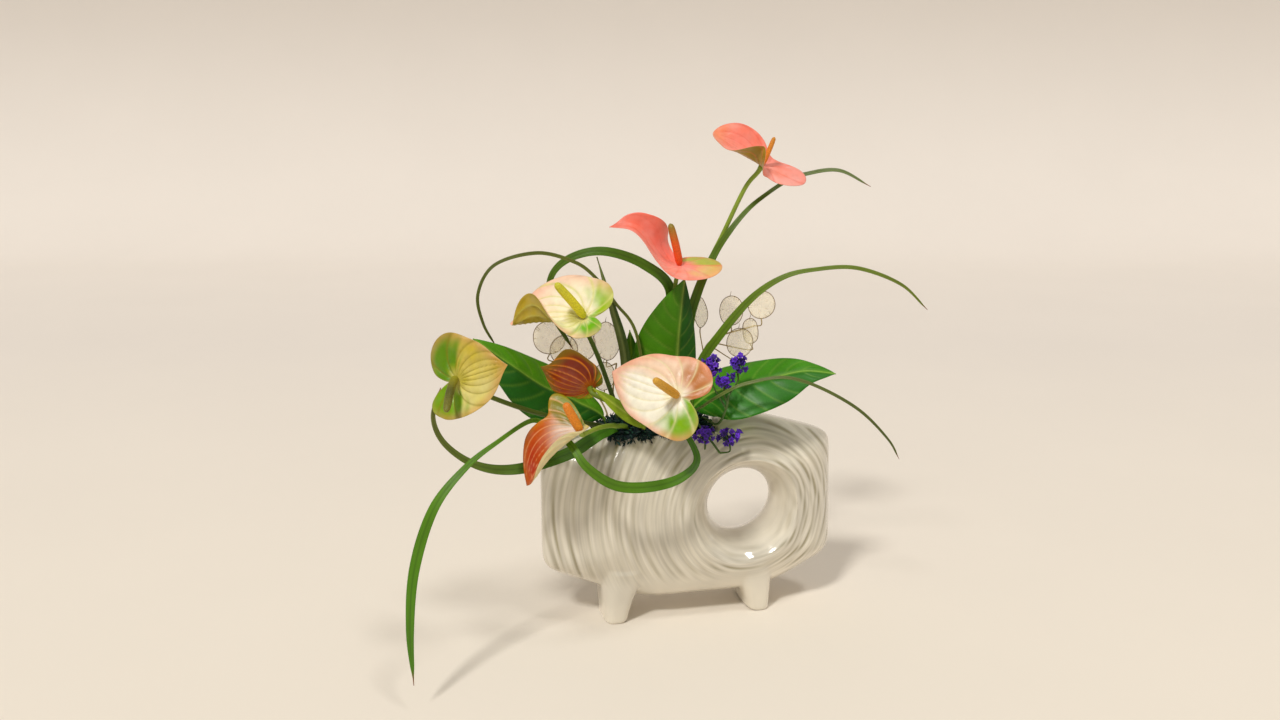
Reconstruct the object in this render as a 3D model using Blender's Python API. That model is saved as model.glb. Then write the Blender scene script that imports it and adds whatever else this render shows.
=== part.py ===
"""Ikebana arrangement: anthuriums, leaves, lily grass, lunaria and statice in a footed ceramic vase.

Lengths are written in millimetres and turned into metres by MM.
X runs along the vase, -Y is its front and Z is up. The feet stand on z = 0.
The pieces are drawn about the vase's middle, then moved together so that the whole
arrangement's footprint is centred on the origin.
"""
from math import cos, pi, radians, sin

import bmesh
import bpy
import numpy as np

MM = 0.001

# ---------------------------------------------------------------- vase
BODY_CENTRE = (0.0, 110.0)
BODY_HALF_DEPTH = 46.0
BODY_EDGE = 2.5
BODY_SIDES = (          # outward direction (x, z) of each straight side and its distance from the centre
    ((1.00, 0.03), 147.5),
    ((-1.00, 0.00), 146.0),
    ((0.00, -1.00), 93.0),
    ((0.43, -0.90), 117.0),
    ((-0.38, -0.925), 105.5),
    ((0.29, 0.957), 107.0),
    ((-0.23, 0.973), 101.0),
    ((0.00, 1.00), 94.0),
)
CORNER_POWER = 26
DOME_POWER = 3.0
DOME_FULLNESS = 0.55

HOLE_CENTRE = (53.0, 111.0)
HOLE_THROAT = 33.5
HOLE_FLARE = 24.0

MOUTH_X = (-93.0, 20.0)
MOUTH_Z = 189.0
WELL_FLOOR = 92.0
WELL_HALF_DEPTH = 20.5
WELL_FLOOR_X = (-86.0, 10.0)

FOOT_X = (-76.0, 69.0)
FOOT_TOP = (25.0, 38.0)
FOOT_BOTTOM = (12.5, 29.5)
FOOT_TOP_Z = 56.0
FOOT_OUTER_LEAN = 3.0

# ---------------------------------------------------------------- filling
FOAM_TOP = 160.0
FOAM_MARGIN = 0.5
MOSS_TOP = 196.0
SOCKET = 0.6

# ---------------------------------------------------------------- anthuriums
# at: where stem, spathe and spadix meet. face: the way the spathe looks. tip: the way its point runs.
# reach: outline radii every 30 degrees, from the notch round the left lobe to the tip and back by the right.
# cup: fold of the two halves about the midline, in degrees. tip_cup: extra fold that grows toward the point.
# roll: bend along the midline in front of and behind the joint, in degrees. spadix: direction, length, radius.
# back_cup: extra fold behind the joint. knee: distance over which the fold is spread, where not CUP_KNEE.
# point: how far the tip is drawn out, where not TIP_POINT. slopes: steepness of the midline from joint to tip.
# stem: route from the foam to the back of the spathe.
FLOWERS = {
    "anthurium_1": dict(
        at=(70, 0, 442), face=(0.33, -0.45, 0.82), tip=(-0.85, 0.28, 0.44),
        reach=(43, 43, 25, 22, 38, 51, 55, 42, 30, 23, 18, 28), cup=(26, 95), roll=(4, 8), tip_cup=(14, -85),
        back_cup=(-15, -115), knee=14, point=0,
        spadix=((0.36, -0.10, 0.93), 24, 2.4),
        stem=((-2, 7, 140), (-2, 7, 196), (6, 20, 270), (19, 27, 328), (40, 22, 377), (57, 12, 419)),
    ),
    "anthurium_2": dict(
        at=(-10, 2, 349), face=(-0.02, -0.30, 0.95), tip=(-0.98, 0.20, 0.05),
        reach=(41, 36, 20, 9, 28, 51, 82, 28, 29, 32, 34, 40), cup=(20, 0), roll=(0, 2), tip_cup=(60, 10),
        back_cup=(-20, 0), knee=10, point=24, slopes=(0, 30, 52, 54, 40, -5, -12),
        spadix=((-0.25, -0.05, 0.97), 37, 3.8),
        stem=((-17, 12, 140), (-17, 12, 196), (-15, 12, 270), (-12, 8, 326)),
    ),
    "anthurium_3": dict(
        at=(-108, -30, 309), face=(-0.23, -0.61, 0.76), tip=(-0.94, 0.33, -0.02),
        reach=(12, 30, 42, 46, 54, 62, 71, 62, 33, 28, 28, 22), cup=(4, 10), roll=(-14, 0), tip_cup=(-4, 120),
        knee=12,
        spadix=((-0.62, -0.22, 0.75), 40, 4.2),
        stem=((-68, 4, 140), (-68, 4, 196), (-84, -2, 250), (-103, -20, 294)),
    ),
    "anthurium_4": dict(
        at=(-225, -75, 266), face=(-0.60, -0.72, 0.34), tip=(0.79, -0.50, 0.35),
        reach=(8, 32, 35, 35, 37, 41, 51, 39, 38, 42, 37, 25), cup=(12, 12), roll=(-8, 6), tip_cup=(0, 0),
        spadix=((-0.19, -0.78, -0.38), 42, 3.6),
        stem=((-80, -9, 140), (-80, -9, 190), (-106, -24, 206), (-150, -40, 222), (-192, -52, 242), (-218, -62, 259)),
    ),
    "anthurium_5": dict(
        at=(-105, -45, 246), face=(-0.24, 0.80, 0.50), tip=(-0.84, -0.34, 0.46),
        reach=(9, 16, 22, 26, 30, 35, 56, 48, 28, 19, 15, 13), cup=(44, 44), roll=(18, 20), tip_cup=(0, 0),
        point=13,
        spadix=((-0.72, 0.42, 0.50), 24, 3.0),
        stem=((-56, -1, 140), (-56, -1, 192), (-72, -24, 218), (-90, -52, 234)),
    ),
    "anthurium_6": dict(
        at=(-121, -88, 219), face=(-0.34, -0.58, 0.74), tip=(-0.93, -0.20, -0.34),
        reach=(8, 8, 16, 44, 34, 55, 72, 32, 14, 9, 9, 10), cup=(12, 105), roll=(-38, 4), tip_cup=(0, 0),
        knee=10,
        spadix=((-0.45, -0.15, 0.88), 27, 4.2),
        stem=((-61, -10, 140), (-61, -10, 190), (-80, -40, 206), (-97, -58, 211), (-114, -80, 213)),
    ),
    "anthurium_7": dict(
        at=(-35, -95, 247), face=(-0.48, -0.74, 0.47), tip=(-0.75, 0.63, 0.22),
        reach=(13, 30, 37, 37, 38, 50, 70, 52, 40, 38, 40, 32), cup=(-4, -10), roll=(-8, -12), tip_cup=(0, 0),
        spadix=((-0.66, -0.52, 0.54), 36, 4.0),
        stem=((-34, -12, 140), (-34, -12, 196), (-32, -40, 224), (-30, -74, 238)),
    ),
}
SPATHE_THICK = 1.2
STEM_RADIUS = 2.5
JOINT_GAP = 0.45
TIP_POINT = 9.0
CUP_KNEE = 24.0         # distance over which a fold across the spathe is spread
ROLL_KNEE = 55.0        # distance over which a bend along it is spread

# ---------------------------------------------------------------- broad leaves
# midrib: petiole foot, petiole end, then along the blade. halves: widest half width on each side.
# face: the way the upper side looks. fold: how far each half folds back, degrees.
LEAVES = {
    "leaf_upright": dict(
        midrib=((-13, -2, 140), (-13, -2, 205), (-11, 0, 264), (-8, 0, 304), (-5, -2, 336)),
        blade_from=0.34, halves=(44, 20), face=(-0.25, -0.95, 0.10), fold=(8, 30), widest=0.34,
    ),
    "leaf_left": dict(
        midrib=((-79, 3, 140), (-79, 3, 196), (-110, -4, 222), (-143, -12, 241), (-170, -12, 261), (-206, -8, 288)),
        blade_from=0.30, halves=(34, 26), face=(0.20, -0.80, 0.56), fold=(10, 14), widest=0.40,
    ),
    "leaf_right": dict(
        midrib=((-5, -7, 140), (-5, -7, 196), (13, -30, 229), (40, -40, 238), (70, -46, 246), (100, -50, 252),
                (130, -54, 249)),
        blade_from=0.34, halves=(30, 34), face=(-0.10, -0.62, 0.78), fold=(12, 12), widest=0.36,
    ),
    "leaf_olive": dict(
        midrib=((-46, -14, 140), (-46, -14, 190), (-58, -44, 210), (-78, -57, 227), (-105, -69, 251)),
        blade_from=0.42, halves=(8, 8), face=(-0.2, -0.7, 0.65), fold=(10, 10), widest=0.45,
    ),
    "leaf_back": dict(
        midrib=((-48, 14, 140), (-48, 14, 198), (-50, 25, 240), (-52, 30, 282)),
        blade_from=0.40, halves=(11, 11), face=(-0.2, -0.95, 0.1), fold=(12, 12), widest=0.45,
    ),
    "leaf_spear": dict(
        midrib=((-59, 13, 140), (-59, 13, 200), (-61, 8, 261), (-72, 10, 306), (-80, 12, 333), (-87, 12, 357)),
        blade_from=0.26, halves=(5, 5), face=(-0.2, -0.95, 0.1), fold=(24, 24), widest=0.35,
    ),
}
LEAF_THICK = 1.1
PETIOLE_RADIUS = 1.9

# ---------------------------------------------------------------- lily grass
# route: points from inside the foam to the tip. width: full width at even steps along it.
# face: the way the flat side looks, at the start and at the tip.
STRAPS = {
    "strap_long_loop": dict(
        route=((-22, -14, 140), (-22, -14, 192), (-16, -38, 199), (-8, -66, 178), (-27, -82, 166), (-58, -92, 163),
               (-91, -99, 169), (-116, -98, 187), (-129, -83, 205), (-144, -62, 214), (-160, -58, 221),
               (-194, -92, 213), (-222, -112, 199), (-250, -124, 169), (-268, -134, 121), (-274, -144, 71),
               (-273, -152, 25)),
        width=(5, 5, 5, 6, 9, 10, 9, 7, 5, 4, 4, 6, 9, 10, 9, 7, 1.5), face=((-0.2, -0.8, 0.5), (-0.5, -0.85, 0.1)),
    ),
    "strap_return_loop": dict(
        route=((-71, -14, 140), (-71, -14, 192), (-91, -37, 200), (-125, -51, 186), (-172, -62, 178),
               (-208, -68, 185), (-236, -68, 206), (-246, -56, 228), (-238, -36, 250)),
        width=(5, 6, 12, 12, 11, 9, 6, 5, 3), face=((-0.2, -0.7, 0.6), (0.5, -0.8, 0.2)),
    ),
    "strap_thin_arch": dict(
        route=((-40, 5, 140), (-40, 5, 200), (-50, 5, 281), (-71, 5, 314), (-91, 3, 340), (-111, 0, 355),
               (-145, 0, 364), (-184, 0, 354), (-200, -2, 328), (-196, 0, 300), (-184, 6, 276)),
        width=(3, 3, 3, 3, 3, 3, 3.5, 3.5, 3, 3, 2), face=((-0.2, -0.95, 0.1), (-0.2, -0.95, 0.2)),
    ),
    "strap_wide_arch": dict(
        route=((-27, 14, 140), (-27, 14, 200), (-22, 18, 270), (-15, 14, 322), (-42, 10, 349), (-80, 6, 363),
               (-110, 12, 358), (-128, 22, 341), (-132, 26, 315), (-128, 14, 299), (-112, 4, 271)),
        width=(5, 6, 7, 10, 10, 10, 9, 8, 6, 5, 3), face=((-0.2, -0.9, 0.4), (-0.3, -0.9, 0.2)),
    ),
    "strap_top_right": dict(
        route=((-8.6, 13.4, 140), (-8.6, 13.4, 200), (-4, 12, 262), (9, 10, 315), (28, 18, 353), (43, 14, 378), (63, 18, 399),
               (84, 24, 413), (104, 28, 424), (122, 24, 431), (151, 10, 435), (178, -5, 420)),
        width=(5, 6, 8, 10, 10, 9, 7, 5, 4, 4, 4, 1.5), face=((-0.2, -0.95, 0.1), (-0.2, -0.8, 0.5)),
    ),
    "strap_middle_right": dict(
        route=((6, 3, 140), (6, 3, 200), (10, -2, 248), (29, -14, 285), (56, -22, 319), (83, -31, 339),
               (112, -36, 346), (152, -41, 347), (195, -46, 331), (222, -50, 306)),
        width=(5, 6, 9, 9, 8, 6, 4, 4, 3.5, 1.5), face=((-0.3, -0.9, 0.3), (-0.2, -0.8, 0.5)),
    ),
    "strap_thin_right": dict(
        route=((-3, -15, 140), (-3, -15, 200), (1, -52, 224), (20, -74, 244), (38, -78, 251), (68, -86, 256), (100, -90, 246),
               (140, -90, 222), (170, -90, 192), (182, -90, 172)),
        width=(3, 3, 3, 3, 3, 3, 3, 3, 2.5, 1.5), face=((-0.2, -0.7, 0.6), (-0.2, -0.9, 0.3)),
    ),
}
STRAP_THICK = 0.9
STRAP_KEEL = 0.7

# ---------------------------------------------------------------- lunaria and statice
# A sprig has a stem route and, for each thing it carries, the share of the route where that branch leaves.
LUNARIA = {
    "lunaria_stem_left": dict(
        stem=((-77, 13, 140), (-77, 13, 198), (-90, 30, 226), (-104, 34, 250)),
        carries={"pod_left_1": 1.0, "pod_left_2": 0.9, "pod_left_3": 0.85},
    ),
    "lunaria_stem_middle": dict(
        stem=((-68, 15, 140), (-68, 15, 198), (-70, 24, 222), (-66, 26, 250)),
        carries={"pod_middle_1": 1.0, "pod_middle_2": 0.72},
    ),
    "lunaria_stem_right": dict(
        stem=((8, 12, 140), (8, 12, 198), (22, 40, 232), (36, 52, 262), (84, 58, 275)),
        carries={"pod_right_1": 0.66, "pod_right_2": 0.82, "pod_right_3": 1.0, "pod_right_4": 0.72, "pod_right_5": 0.74},
    ),
}
PODS = {                # centre, half width, half height, turn about Z in degrees
    "pod_left_1": ((-132, 24, 279), 16, 16, -14),
    "pod_left_2": ((-119, 17, 268), 14, 14, 10),
    "pod_left_3": ((-99, 28, 269), 13, 15, -20),
    "pod_middle_1": ((-76, 24, 273), 13, 19, -30),
    "pod_middle_2": ((-80, 16, 240), 11, 14, 12),
    "pod_right_1": ((20, 32, 296), 8, 15, -48),
    "pod_right_2": ((53, 36, 296), 12, 15, -20),
    "pod_right_3": ((86, 40, 300), 14, 14, -8),
    "pod_right_4": ((61, 31, 264), 13, 15, -12),
    "pod_right_5": ((77, 47, 272), 9, 13, -40),
}
POD_THICK = 1.0
LUNARIA_RADIUS = 0.9

STATICE = {
    "statice_stem_upper": dict(
        stem=((10, -6, 140), (10, -6, 196), (17, -44, 203), (20, -62, 222), (21, -66, 236)),
        carries={"statice_head_1": 0.9, "statice_head_2": 1.0, "statice_head_3": 0.95},
    ),
    "statice_stem_lower": dict(
        stem=((4, -13, 140), (4, -13, 192), (3, -34, 199), (9, -46, 190), (17, -55, 178)),
        carries={"statice_head_4": 0.8, "statice_head_5": 1.0},
    ),
}
STATICE_HEADS = {       # centre and the three half sizes
    "statice_head_1": ((6, -60, 264), (7, 6, 9)),
    "statice_head_2": ((32, -58, 264), (8, 6, 10)),
    "statice_head_3": ((17, -66, 250), (8, 5, 6)),
    "statice_head_4": ((3, -53, 197), (7, 6, 8)),
    "statice_head_5": ((27, -53, 193), (10, 6, 8)),
}
STATICE_RADIUS = 1.2
POD_SIDES = 16
HEAD_POLE = 75.0


# ================================================================ helpers
def clear_scene():
    for obj in list(bpy.data.objects):
        bpy.data.objects.remove(obj, do_unlink=True)


def new_collection(name):
    group = bpy.data.collections.new(name)
    bpy.context.scene.collection.children.link(group)
    return group


def material(name, colour, roughness, metallic=0.0):
    mat = bpy.data.materials.new(name)
    mat.use_nodes = True
    shader = mat.node_tree.nodes["Principled BSDF"]
    shader.inputs["Base Color"].default_value = (*colour, 1.0)
    shader.inputs["Roughness"].default_value = roughness
    shader.inputs["Metallic"].default_value = metallic
    return mat


def solid(name, points, faces, mat, group=None):
    """A closed mesh object from points in millimetres, its faces turned outward."""
    mesh = bpy.data.meshes.new(name)
    mesh.from_pydata([tuple(c * MM for c in p) for p in points], [], faces)
    bm = bmesh.new()
    bm.from_mesh(mesh)
    bmesh.ops.remove_doubles(bm, verts=bm.verts, dist=1e-6)
    bmesh.ops.triangulate(bm, faces=bm.faces)
    bmesh.ops.recalc_face_normals(bm, faces=bm.faces)
    if bm.calc_volume(signed=True) < 0:
        bmesh.ops.reverse_faces(bm, faces=bm.faces)
    bm.to_mesh(mesh)
    bm.free()
    if mat is not None:
        mesh.materials.append(mat)
    obj = bpy.data.objects.new(name, mesh)
    (group or PARTS).objects.link(obj)
    return obj


def guide(name, points, faces):
    """A solid used only to cut others."""
    obj = solid(name, points, faces, None, CUTTERS)
    obj.hide_render = True
    obj.display_type = "WIRE"
    return obj


def cut(obj, tool, operation="DIFFERENCE"):
    mod = obj.modifiers.new(tool.name, "BOOLEAN")
    mod.operation = operation
    mod.solver = "EXACT"
    mod.object = tool


def unit(vector):
    vector = np.asarray(vector, float)
    return vector / np.linalg.norm(vector)


def smooth_route(points, count):
    """Even steps along a Catmull-Rom curve through the points."""
    pts = np.asarray(points, float)
    ends = np.vstack([2 * pts[0] - pts[1], pts, 2 * pts[-1] - pts[-2]])
    dense = []
    for i in range(len(pts) - 1):
        a, b, c, d = ends[i:i + 4]
        for t in np.linspace(0, 1, 24, endpoint=False):
            dense.append(0.5 * (2 * b + (c - a) * t + (2 * a - 5 * b + 4 * c - d) * t ** 2
                                + (3 * b - a - 3 * c + d) * t ** 3))
    dense.append(pts[-1])
    dense = np.array(dense)
    along = np.r_[0, np.cumsum(np.linalg.norm(np.diff(dense, axis=0), axis=1))]
    even = np.linspace(0, along[-1], count)
    return np.stack([np.interp(even, along, dense[:, k]) for k in range(3)], axis=1)


def rooted(rings):
    """The rings of a stem as far as it lies in or just above the filling."""
    centres = [np.mean(ring, axis=0) for ring in rings]
    last = next(i for i, c in enumerate(centres)
                if c[2] > MOSS_TOP + 3.0 or abs(c[1]) > WELL_HALF_DEPTH + 3.0)
    return rings[:last + 1]


def tangents(route):
    return np.array([unit(v) for v in np.gradient(route, axis=0)])


def frames(route, face):
    """Side and normal directions along a route, the normal kept as near to face as it can be."""
    along = tangents(route)
    face = np.broadcast_to(np.asarray(face, float), route.shape)
    side = np.cross(along, face)
    side = side / np.linalg.norm(side, axis=1, keepdims=True)
    return side, np.cross(side, along)


def skin(rings):
    """Faces that join equal closed rings of points and cap both ends."""
    points = [tuple(p) for ring in rings for p in ring]
    n = len(rings[0])
    faces = [tuple(range(n))[::-1]]
    for i in range(len(rings) - 1):
        for j in range(n):
            k = (j + 1) % n
            faces.append((i * n + j, i * n + k, (i + 1) * n + k, (i + 1) * n + j))
    faces.append(tuple(range((len(rings) - 1) * n, len(rings) * n)))
    return points, faces


def tube_rings(route, radii, sides=8):
    radii = np.interp(np.linspace(0, 1, len(route)), np.linspace(0, 1, len(radii)), radii)
    side, normal = frames(route, (0.31, -0.93, 0.17))
    rings = []
    for p, r, s, n in zip(route, radii, side, normal):
        rings.append([p + r * (cos(a) * s + sin(a) * n) for a in np.arange(sides) * 2 * pi / sides])
    return rings


def tube(route, radii, sides=8):
    return skin(tube_rings(route, radii, sides))


def ribbon_rings(route, widths, face, thick, keel, grow=0.0):
    """A strap with a shallow keel. grow makes it larger on every side."""
    steps = np.linspace(0, 1, len(route))
    half = np.interp(steps, np.linspace(0, 1, len(widths)), widths) / 2 + grow
    facing = np.outer(1 - steps, face[0]) + np.outer(steps, face[1])
    side, normal = frames(route, facing)
    t = thick / 2 + grow
    rings = []
    for p, w, s, n in zip(route, half, side, normal):
        k = keel * w / (w + 3)
        rings.append([p - w * s + t * n, p + (t - k) * n, p + w * s + t * n,
                      p + w * s - t * n, p - (t + k) * n, p - w * s - t * n])
    return rings


def thick_sheet(grid, thick):
    """A closed sheet from a grid whose first row is one point and whose columns run round it."""
    rings, around = grid.shape[0], grid.shape[1]
    du = np.roll(grid, -1, axis=1) - np.roll(grid, 1, axis=1)
    dk = np.gradient(grid, axis=0)
    normal = np.cross(dk, du)
    normal[0] = normal[1].mean(axis=0)
    normal /= np.linalg.norm(normal, axis=2, keepdims=True)
    back = grid - thick * normal
    points = [tuple(grid[0, 0])] + [tuple(p) for p in grid[1:].reshape(-1, 3)]
    offset = len(points)
    points += [tuple(back[0, 0])] + [tuple(p) for p in back[1:].reshape(-1, 3)]
    faces = []
    for base, flip in ((0, False), (offset, True)):
        for j in range(around):
            k = (j + 1) % around
            fan = (base, base + 1 + j, base + 1 + k)
            faces.append(fan[::-1] if flip else fan)
            for i in range(rings - 2):
                a = base + 1 + i * around
                quad = (a + j, a + around + j, a + around + k, a + k)
                faces.append(quad[::-1] if flip else quad)
    rim = 1 + (rings - 2) * around
    for j in range(around):
        k = (j + 1) % around
        faces.append((rim + j, offset + rim + j, offset + rim + k, rim + k))
    return points, faces


# ================================================================ vase
def body_gauge(x, z):
    """How far a point lies from the body's centre, as a share of the way to its outline."""
    dx = x - BODY_CENTRE[0]
    dz = z - BODY_CENTRE[1]
    total = 0.0
    for (nx, nz), reach in BODY_SIDES:
        total = total + np.maximum((nx * dx + nz * dz) / reach, 0.0) ** CORNER_POWER
    return total ** (1.0 / CORNER_POWER)


def body_depth(x, z):
    inside = np.clip(1.0 - body_gauge(x, z) ** DOME_POWER, 0.0, 1.0)
    return BODY_EDGE + (BODY_HALF_DEPTH - BODY_EDGE) * inside ** DOME_FULLNESS


def vase_body(around=48, rings=7):
    points = []
    shares = [(1 - (1 - i / rings) ** 1.8) for i in range(1, rings + 1)]
    for face in (-1, 1):
        points.append((BODY_CENTRE[0], face * BODY_HALF_DEPTH, BODY_CENTRE[1]))
        for k in shares:
            for a in np.arange(around) * 2 * pi / around:
                reach = 1.0 / body_gauge(BODY_CENTRE[0] + cos(a), BODY_CENTRE[1] + sin(a))
                x = BODY_CENTRE[0] + k * reach * cos(a)
                z = BODY_CENTRE[1] + k * reach * sin(a)
                points.append((x, face * float(body_depth(x, z)), z))
    faces = []
    half = 1 + rings * around
    for base in (0, half):
        for j in range(around):
            k = (j + 1) % around
            faces.append((base, base + 1 + j, base + 1 + k))
            for i in range(rings - 1):
                a = base + 1 + i * around
                faces.append((a + j, a + around + j, a + around + k, a + k))
    rim = 1 + (rings - 1) * around
    for j in range(around):
        k = (j + 1) % around
        faces.append((rim + j, half + rim + j, half + rim + k, rim + k))
    return points, faces


def block(lo, hi, lo_top=None, hi_top=None):
    """A box, or a frustum when its top has its own x and y limits."""
    (x0, y0, z0), (x1, y1, z1) = lo, hi
    a0, b0 = lo_top or (x0, y0)
    a1, b1 = hi_top or (x1, y1)
    points = [(x0, y0, z0), (x1, y0, z0), (x1, y1, z0), (x0, y1, z0),
              (a0, b0, z1), (a1, b0, z1), (a1, b1, z1), (a0, b1, z1)]
    return skin([points[:4], points[4:]])


def rounded_ring(x0, x1, y, z, sides=16, power=3.2):
    cx, rx = (x0 + x1) / 2, (x1 - x0) / 2
    ring = []
    for a in np.arange(sides) * 2 * pi / sides:
        c, s = cos(a), sin(a)
        ring.append((cx + rx * np.sign(c) * abs(c) ** (2 / power), y * np.sign(s) * abs(s) ** (2 / power), z))
    return ring


def foot_solid(x, outward):
    """A foot that runs front to back, upright outside and slanted inside."""
    rings = []
    for share in (0.0, 0.06, 0.5, 1.0):
        swell = share ** 1.4
        wide = FOOT_BOTTOM[0] + (FOOT_TOP[0] - FOOT_BOTTOM[0]) * swell - (1.2 if share == 0 else 0.0)
        deep = FOOT_BOTTOM[1] + (FOOT_TOP[1] - FOOT_BOTTOM[1]) * share - (1.2 if share == 0 else 0.0)
        outer = FOOT_BOTTOM[0] + FOOT_OUTER_LEAN * share
        centre = x + outward * (outer - wide)
        rings.append(rounded_ring(centre - wide, centre + wide, deep, share * FOOT_TOP_Z))
    return skin(rings)


def hole_cutter(steps=5, sides=30):
    rings = []
    for i in range(-steps, steps + 1):
        y = 60.0 * i / steps
        flare = min(abs(y) / BODY_HALF_DEPTH, 1.3) ** 1.9
        radius = HOLE_THROAT + HOLE_FLARE * flare
        rings.append([(HOLE_CENTRE[0] + radius * cos(a), y, HOLE_CENTRE[1] + radius * sin(a))
                      for a in np.arange(sides) * 2 * pi / sides])
    return skin(rings)


def well_rings(shrink, z_low, z_high):
    """Rings of the well's inside between two heights, drawn in by shrink."""
    rings = []
    for z in (z_low, z_high):
        share = (z - WELL_FLOOR) / (MOUTH_Z - WELL_FLOOR)
        x0 = WELL_FLOOR_X[0] + (MOUTH_X[0] + 4 - WELL_FLOOR_X[0]) * share
        x1 = WELL_FLOOR_X[1] + (MOUTH_X[1] - 1 - WELL_FLOOR_X[1]) * share
        rings.append(rounded_ring(x0 + shrink, x1 - shrink, WELL_HALF_DEPTH - shrink, z, power=4.0))
    return rings


def build_vase():
    glaze = material("vase_glaze", (0.86, 0.83, 0.76), 0.22)
    vase = solid("vase", *vase_body(), glaze)
    for name, x, outward in (("foot_left", FOOT_X[0], -1), ("foot_right", FOOT_X[1], 1)):
        cut(vase, guide(name, *foot_solid(x, outward)), "UNION")
    cut(vase, guide("hole", *hole_cutter()))
    mouth = block((MOUTH_X[0] - 5, -70, MOUTH_Z), (MOUTH_X[1] + 3, 70, 240), (MOUTH_X[0] - 60, -70), (MOUTH_X[1] + 24, 70))
    cut(vase, guide("mouth_plane", *mouth))
    cut(vase, guide("well", *skin(well_rings(0.0, WELL_FLOOR, MOUTH_Z + 20))))
    return vase


# ================================================================ plants
def heart_reach(angle, reach, point):
    """Outline radius at an angle from the tip, through the listed radii, with a sharp point."""
    count = len(reach)
    place = (angle / (2 * pi) * count + count / 2) % count
    i = int(place)
    t = place - i
    a, b, c, d = (reach[(i + k) % count] - (point if (i + k) % count == count // 2 else 0) for k in (-1, 0, 1, 2))
    base = 0.5 * (2 * b + (c - a) * t + (2 * a - 5 * b + 4 * c - d) * t * t + (3 * b - a - 3 * c + d) * t ** 3)
    turn = abs((angle + pi) % (2 * pi) - pi)
    return base + point * np.exp(-turn / radians(9))


def bend(distance, degrees, knee):
    """Reach and rise of a run that curves through an angle up to the knee and is straight beyond it."""
    angle = radians(degrees)
    if abs(angle) < 1e-6:
        return distance, 0.0
    curved = min(distance, knee)
    turned = angle * curved / knee
    radius = knee / angle
    beyond = distance - curved
    return radius * sin(turned) + beyond * cos(turned), radius * (1 - cos(turned)) + beyond * sin(turned)


def midline(spec, x):
    """Reach, height and slope of a spathe's midline, x in front of the joint or behind it."""
    if x > 0 and "slopes" in spec:
        share = np.linspace(0, x, 30) / spec["reach"][len(spec["reach"]) // 2]
        slope = np.radians(np.interp(share, np.linspace(0, 1, len(spec["slopes"])), spec["slopes"]))
        return x * np.cos(slope).mean(), x * np.sin(slope).mean(), slope[-1]
    along, lift = bend(abs(x), spec["roll"][0 if x > 0 else 1], ROLL_KNEE)
    return along * np.sign(x), lift, 0.0


def ease(value):
    value = np.clip(value, 0.0, 1.0)
    return value * value * (3 - 2 * value)


def spathe_point(spec, angle, share):
    """A point of the spathe's front face in its own frame: along the tip, to its left, out of its face."""
    radius = heart_reach(angle, spec["reach"], spec.get("point", TIP_POINT)) * share
    x, y = radius * cos(angle), radius * sin(angle)
    side = 0 if y < 0 else 1
    front = ease(x / spec["reach"][len(spec["reach"]) // 2] / 0.75)
    rear = ease((8.0 - x) / 16.0)
    fold = spec["cup"][side] + spec["tip_cup"][side] * front + spec.get("back_cup", (0, 0))[side] * rear
    across, rise = bend(abs(y), fold, spec.get("knee", CUP_KNEE))
    along, lift, slope = midline(spec, x)
    return np.array([along - rise * sin(slope), across * np.sign(y), lift + rise * cos(slope)])


def spathe_axes(spec):
    face = unit(spec["face"])
    tip = np.asarray(spec["tip"], float)
    tip = unit(tip - face * (tip @ face))
    return np.array([tip, np.cross(face, tip), face])


def build_spathe(name, spec, colour, around=26, shares=(0.0, 0.08, 0.38, 0.7, 1.0)):
    axes = spathe_axes(spec)
    origin = np.asarray(spec["at"], float)
    grid = np.zeros((len(shares), around, 3))
    for i, share in enumerate(shares):
        for j in range(around):
            local = spathe_point(spec, -pi + 2 * pi * j / around, share)
            grid[i, j] = origin + local @ axes
    return solid(name + "_spathe", *thick_sheet(grid, SPATHE_THICK), material(name + "_spathe", colour, 0.3))


def build_spadix(name, spec, colour):
    direction, length, radius = spec["spadix"]
    face = unit(spec["face"])
    start = np.asarray(spec["at"], float) + face * JOINT_GAP
    direction = unit(direction)
    route = smooth_route([start, start + face * 3.5, start + face * 5.0 + direction * length * 0.4,
                          start + face * 3.5 + direction * length], 8)
    points, faces = tube(route, (radius * 0.45, radius * 0.95, radius, radius, radius * 0.95, radius * 0.85, radius * 0.35))
    return solid(name + "_spadix", points, faces, material(name + "_spadix", colour, 0.6))


def stem_route(spec):
    face = unit(spec["face"])
    end = np.asarray(spec["at"], float) - face * (SPATHE_THICK + JOINT_GAP)
    return smooth_route([*spec["stem"], end - face * 8.0, end], 16)


def build_flower(name, spec, spathe_colour, spadix_colour, stem_colour):
    build_spathe(name, spec, spathe_colour)
    build_spadix(name, spec, spadix_colour)
    route = stem_route(spec)
    solid(name + "_stem", *tube(route, (STEM_RADIUS, STEM_RADIUS * 0.85), 6), material(name + "_stem", stem_colour, 0.4))
    guide(name + "_socket", *skin(rooted(tube_rings(route, (STEM_RADIUS + SOCKET,), 6))))


def leaf_profile(share, widest):
    """Half width of a leaf blade along its length, as a share of its widest half width."""
    if share < widest:
        return max(sin(pi / 2 * share / widest), 0.0) ** 0.75
    return max(cos(pi / 2 * (share - widest) / (1 - widest)), 0.0) ** 0.85


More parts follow.
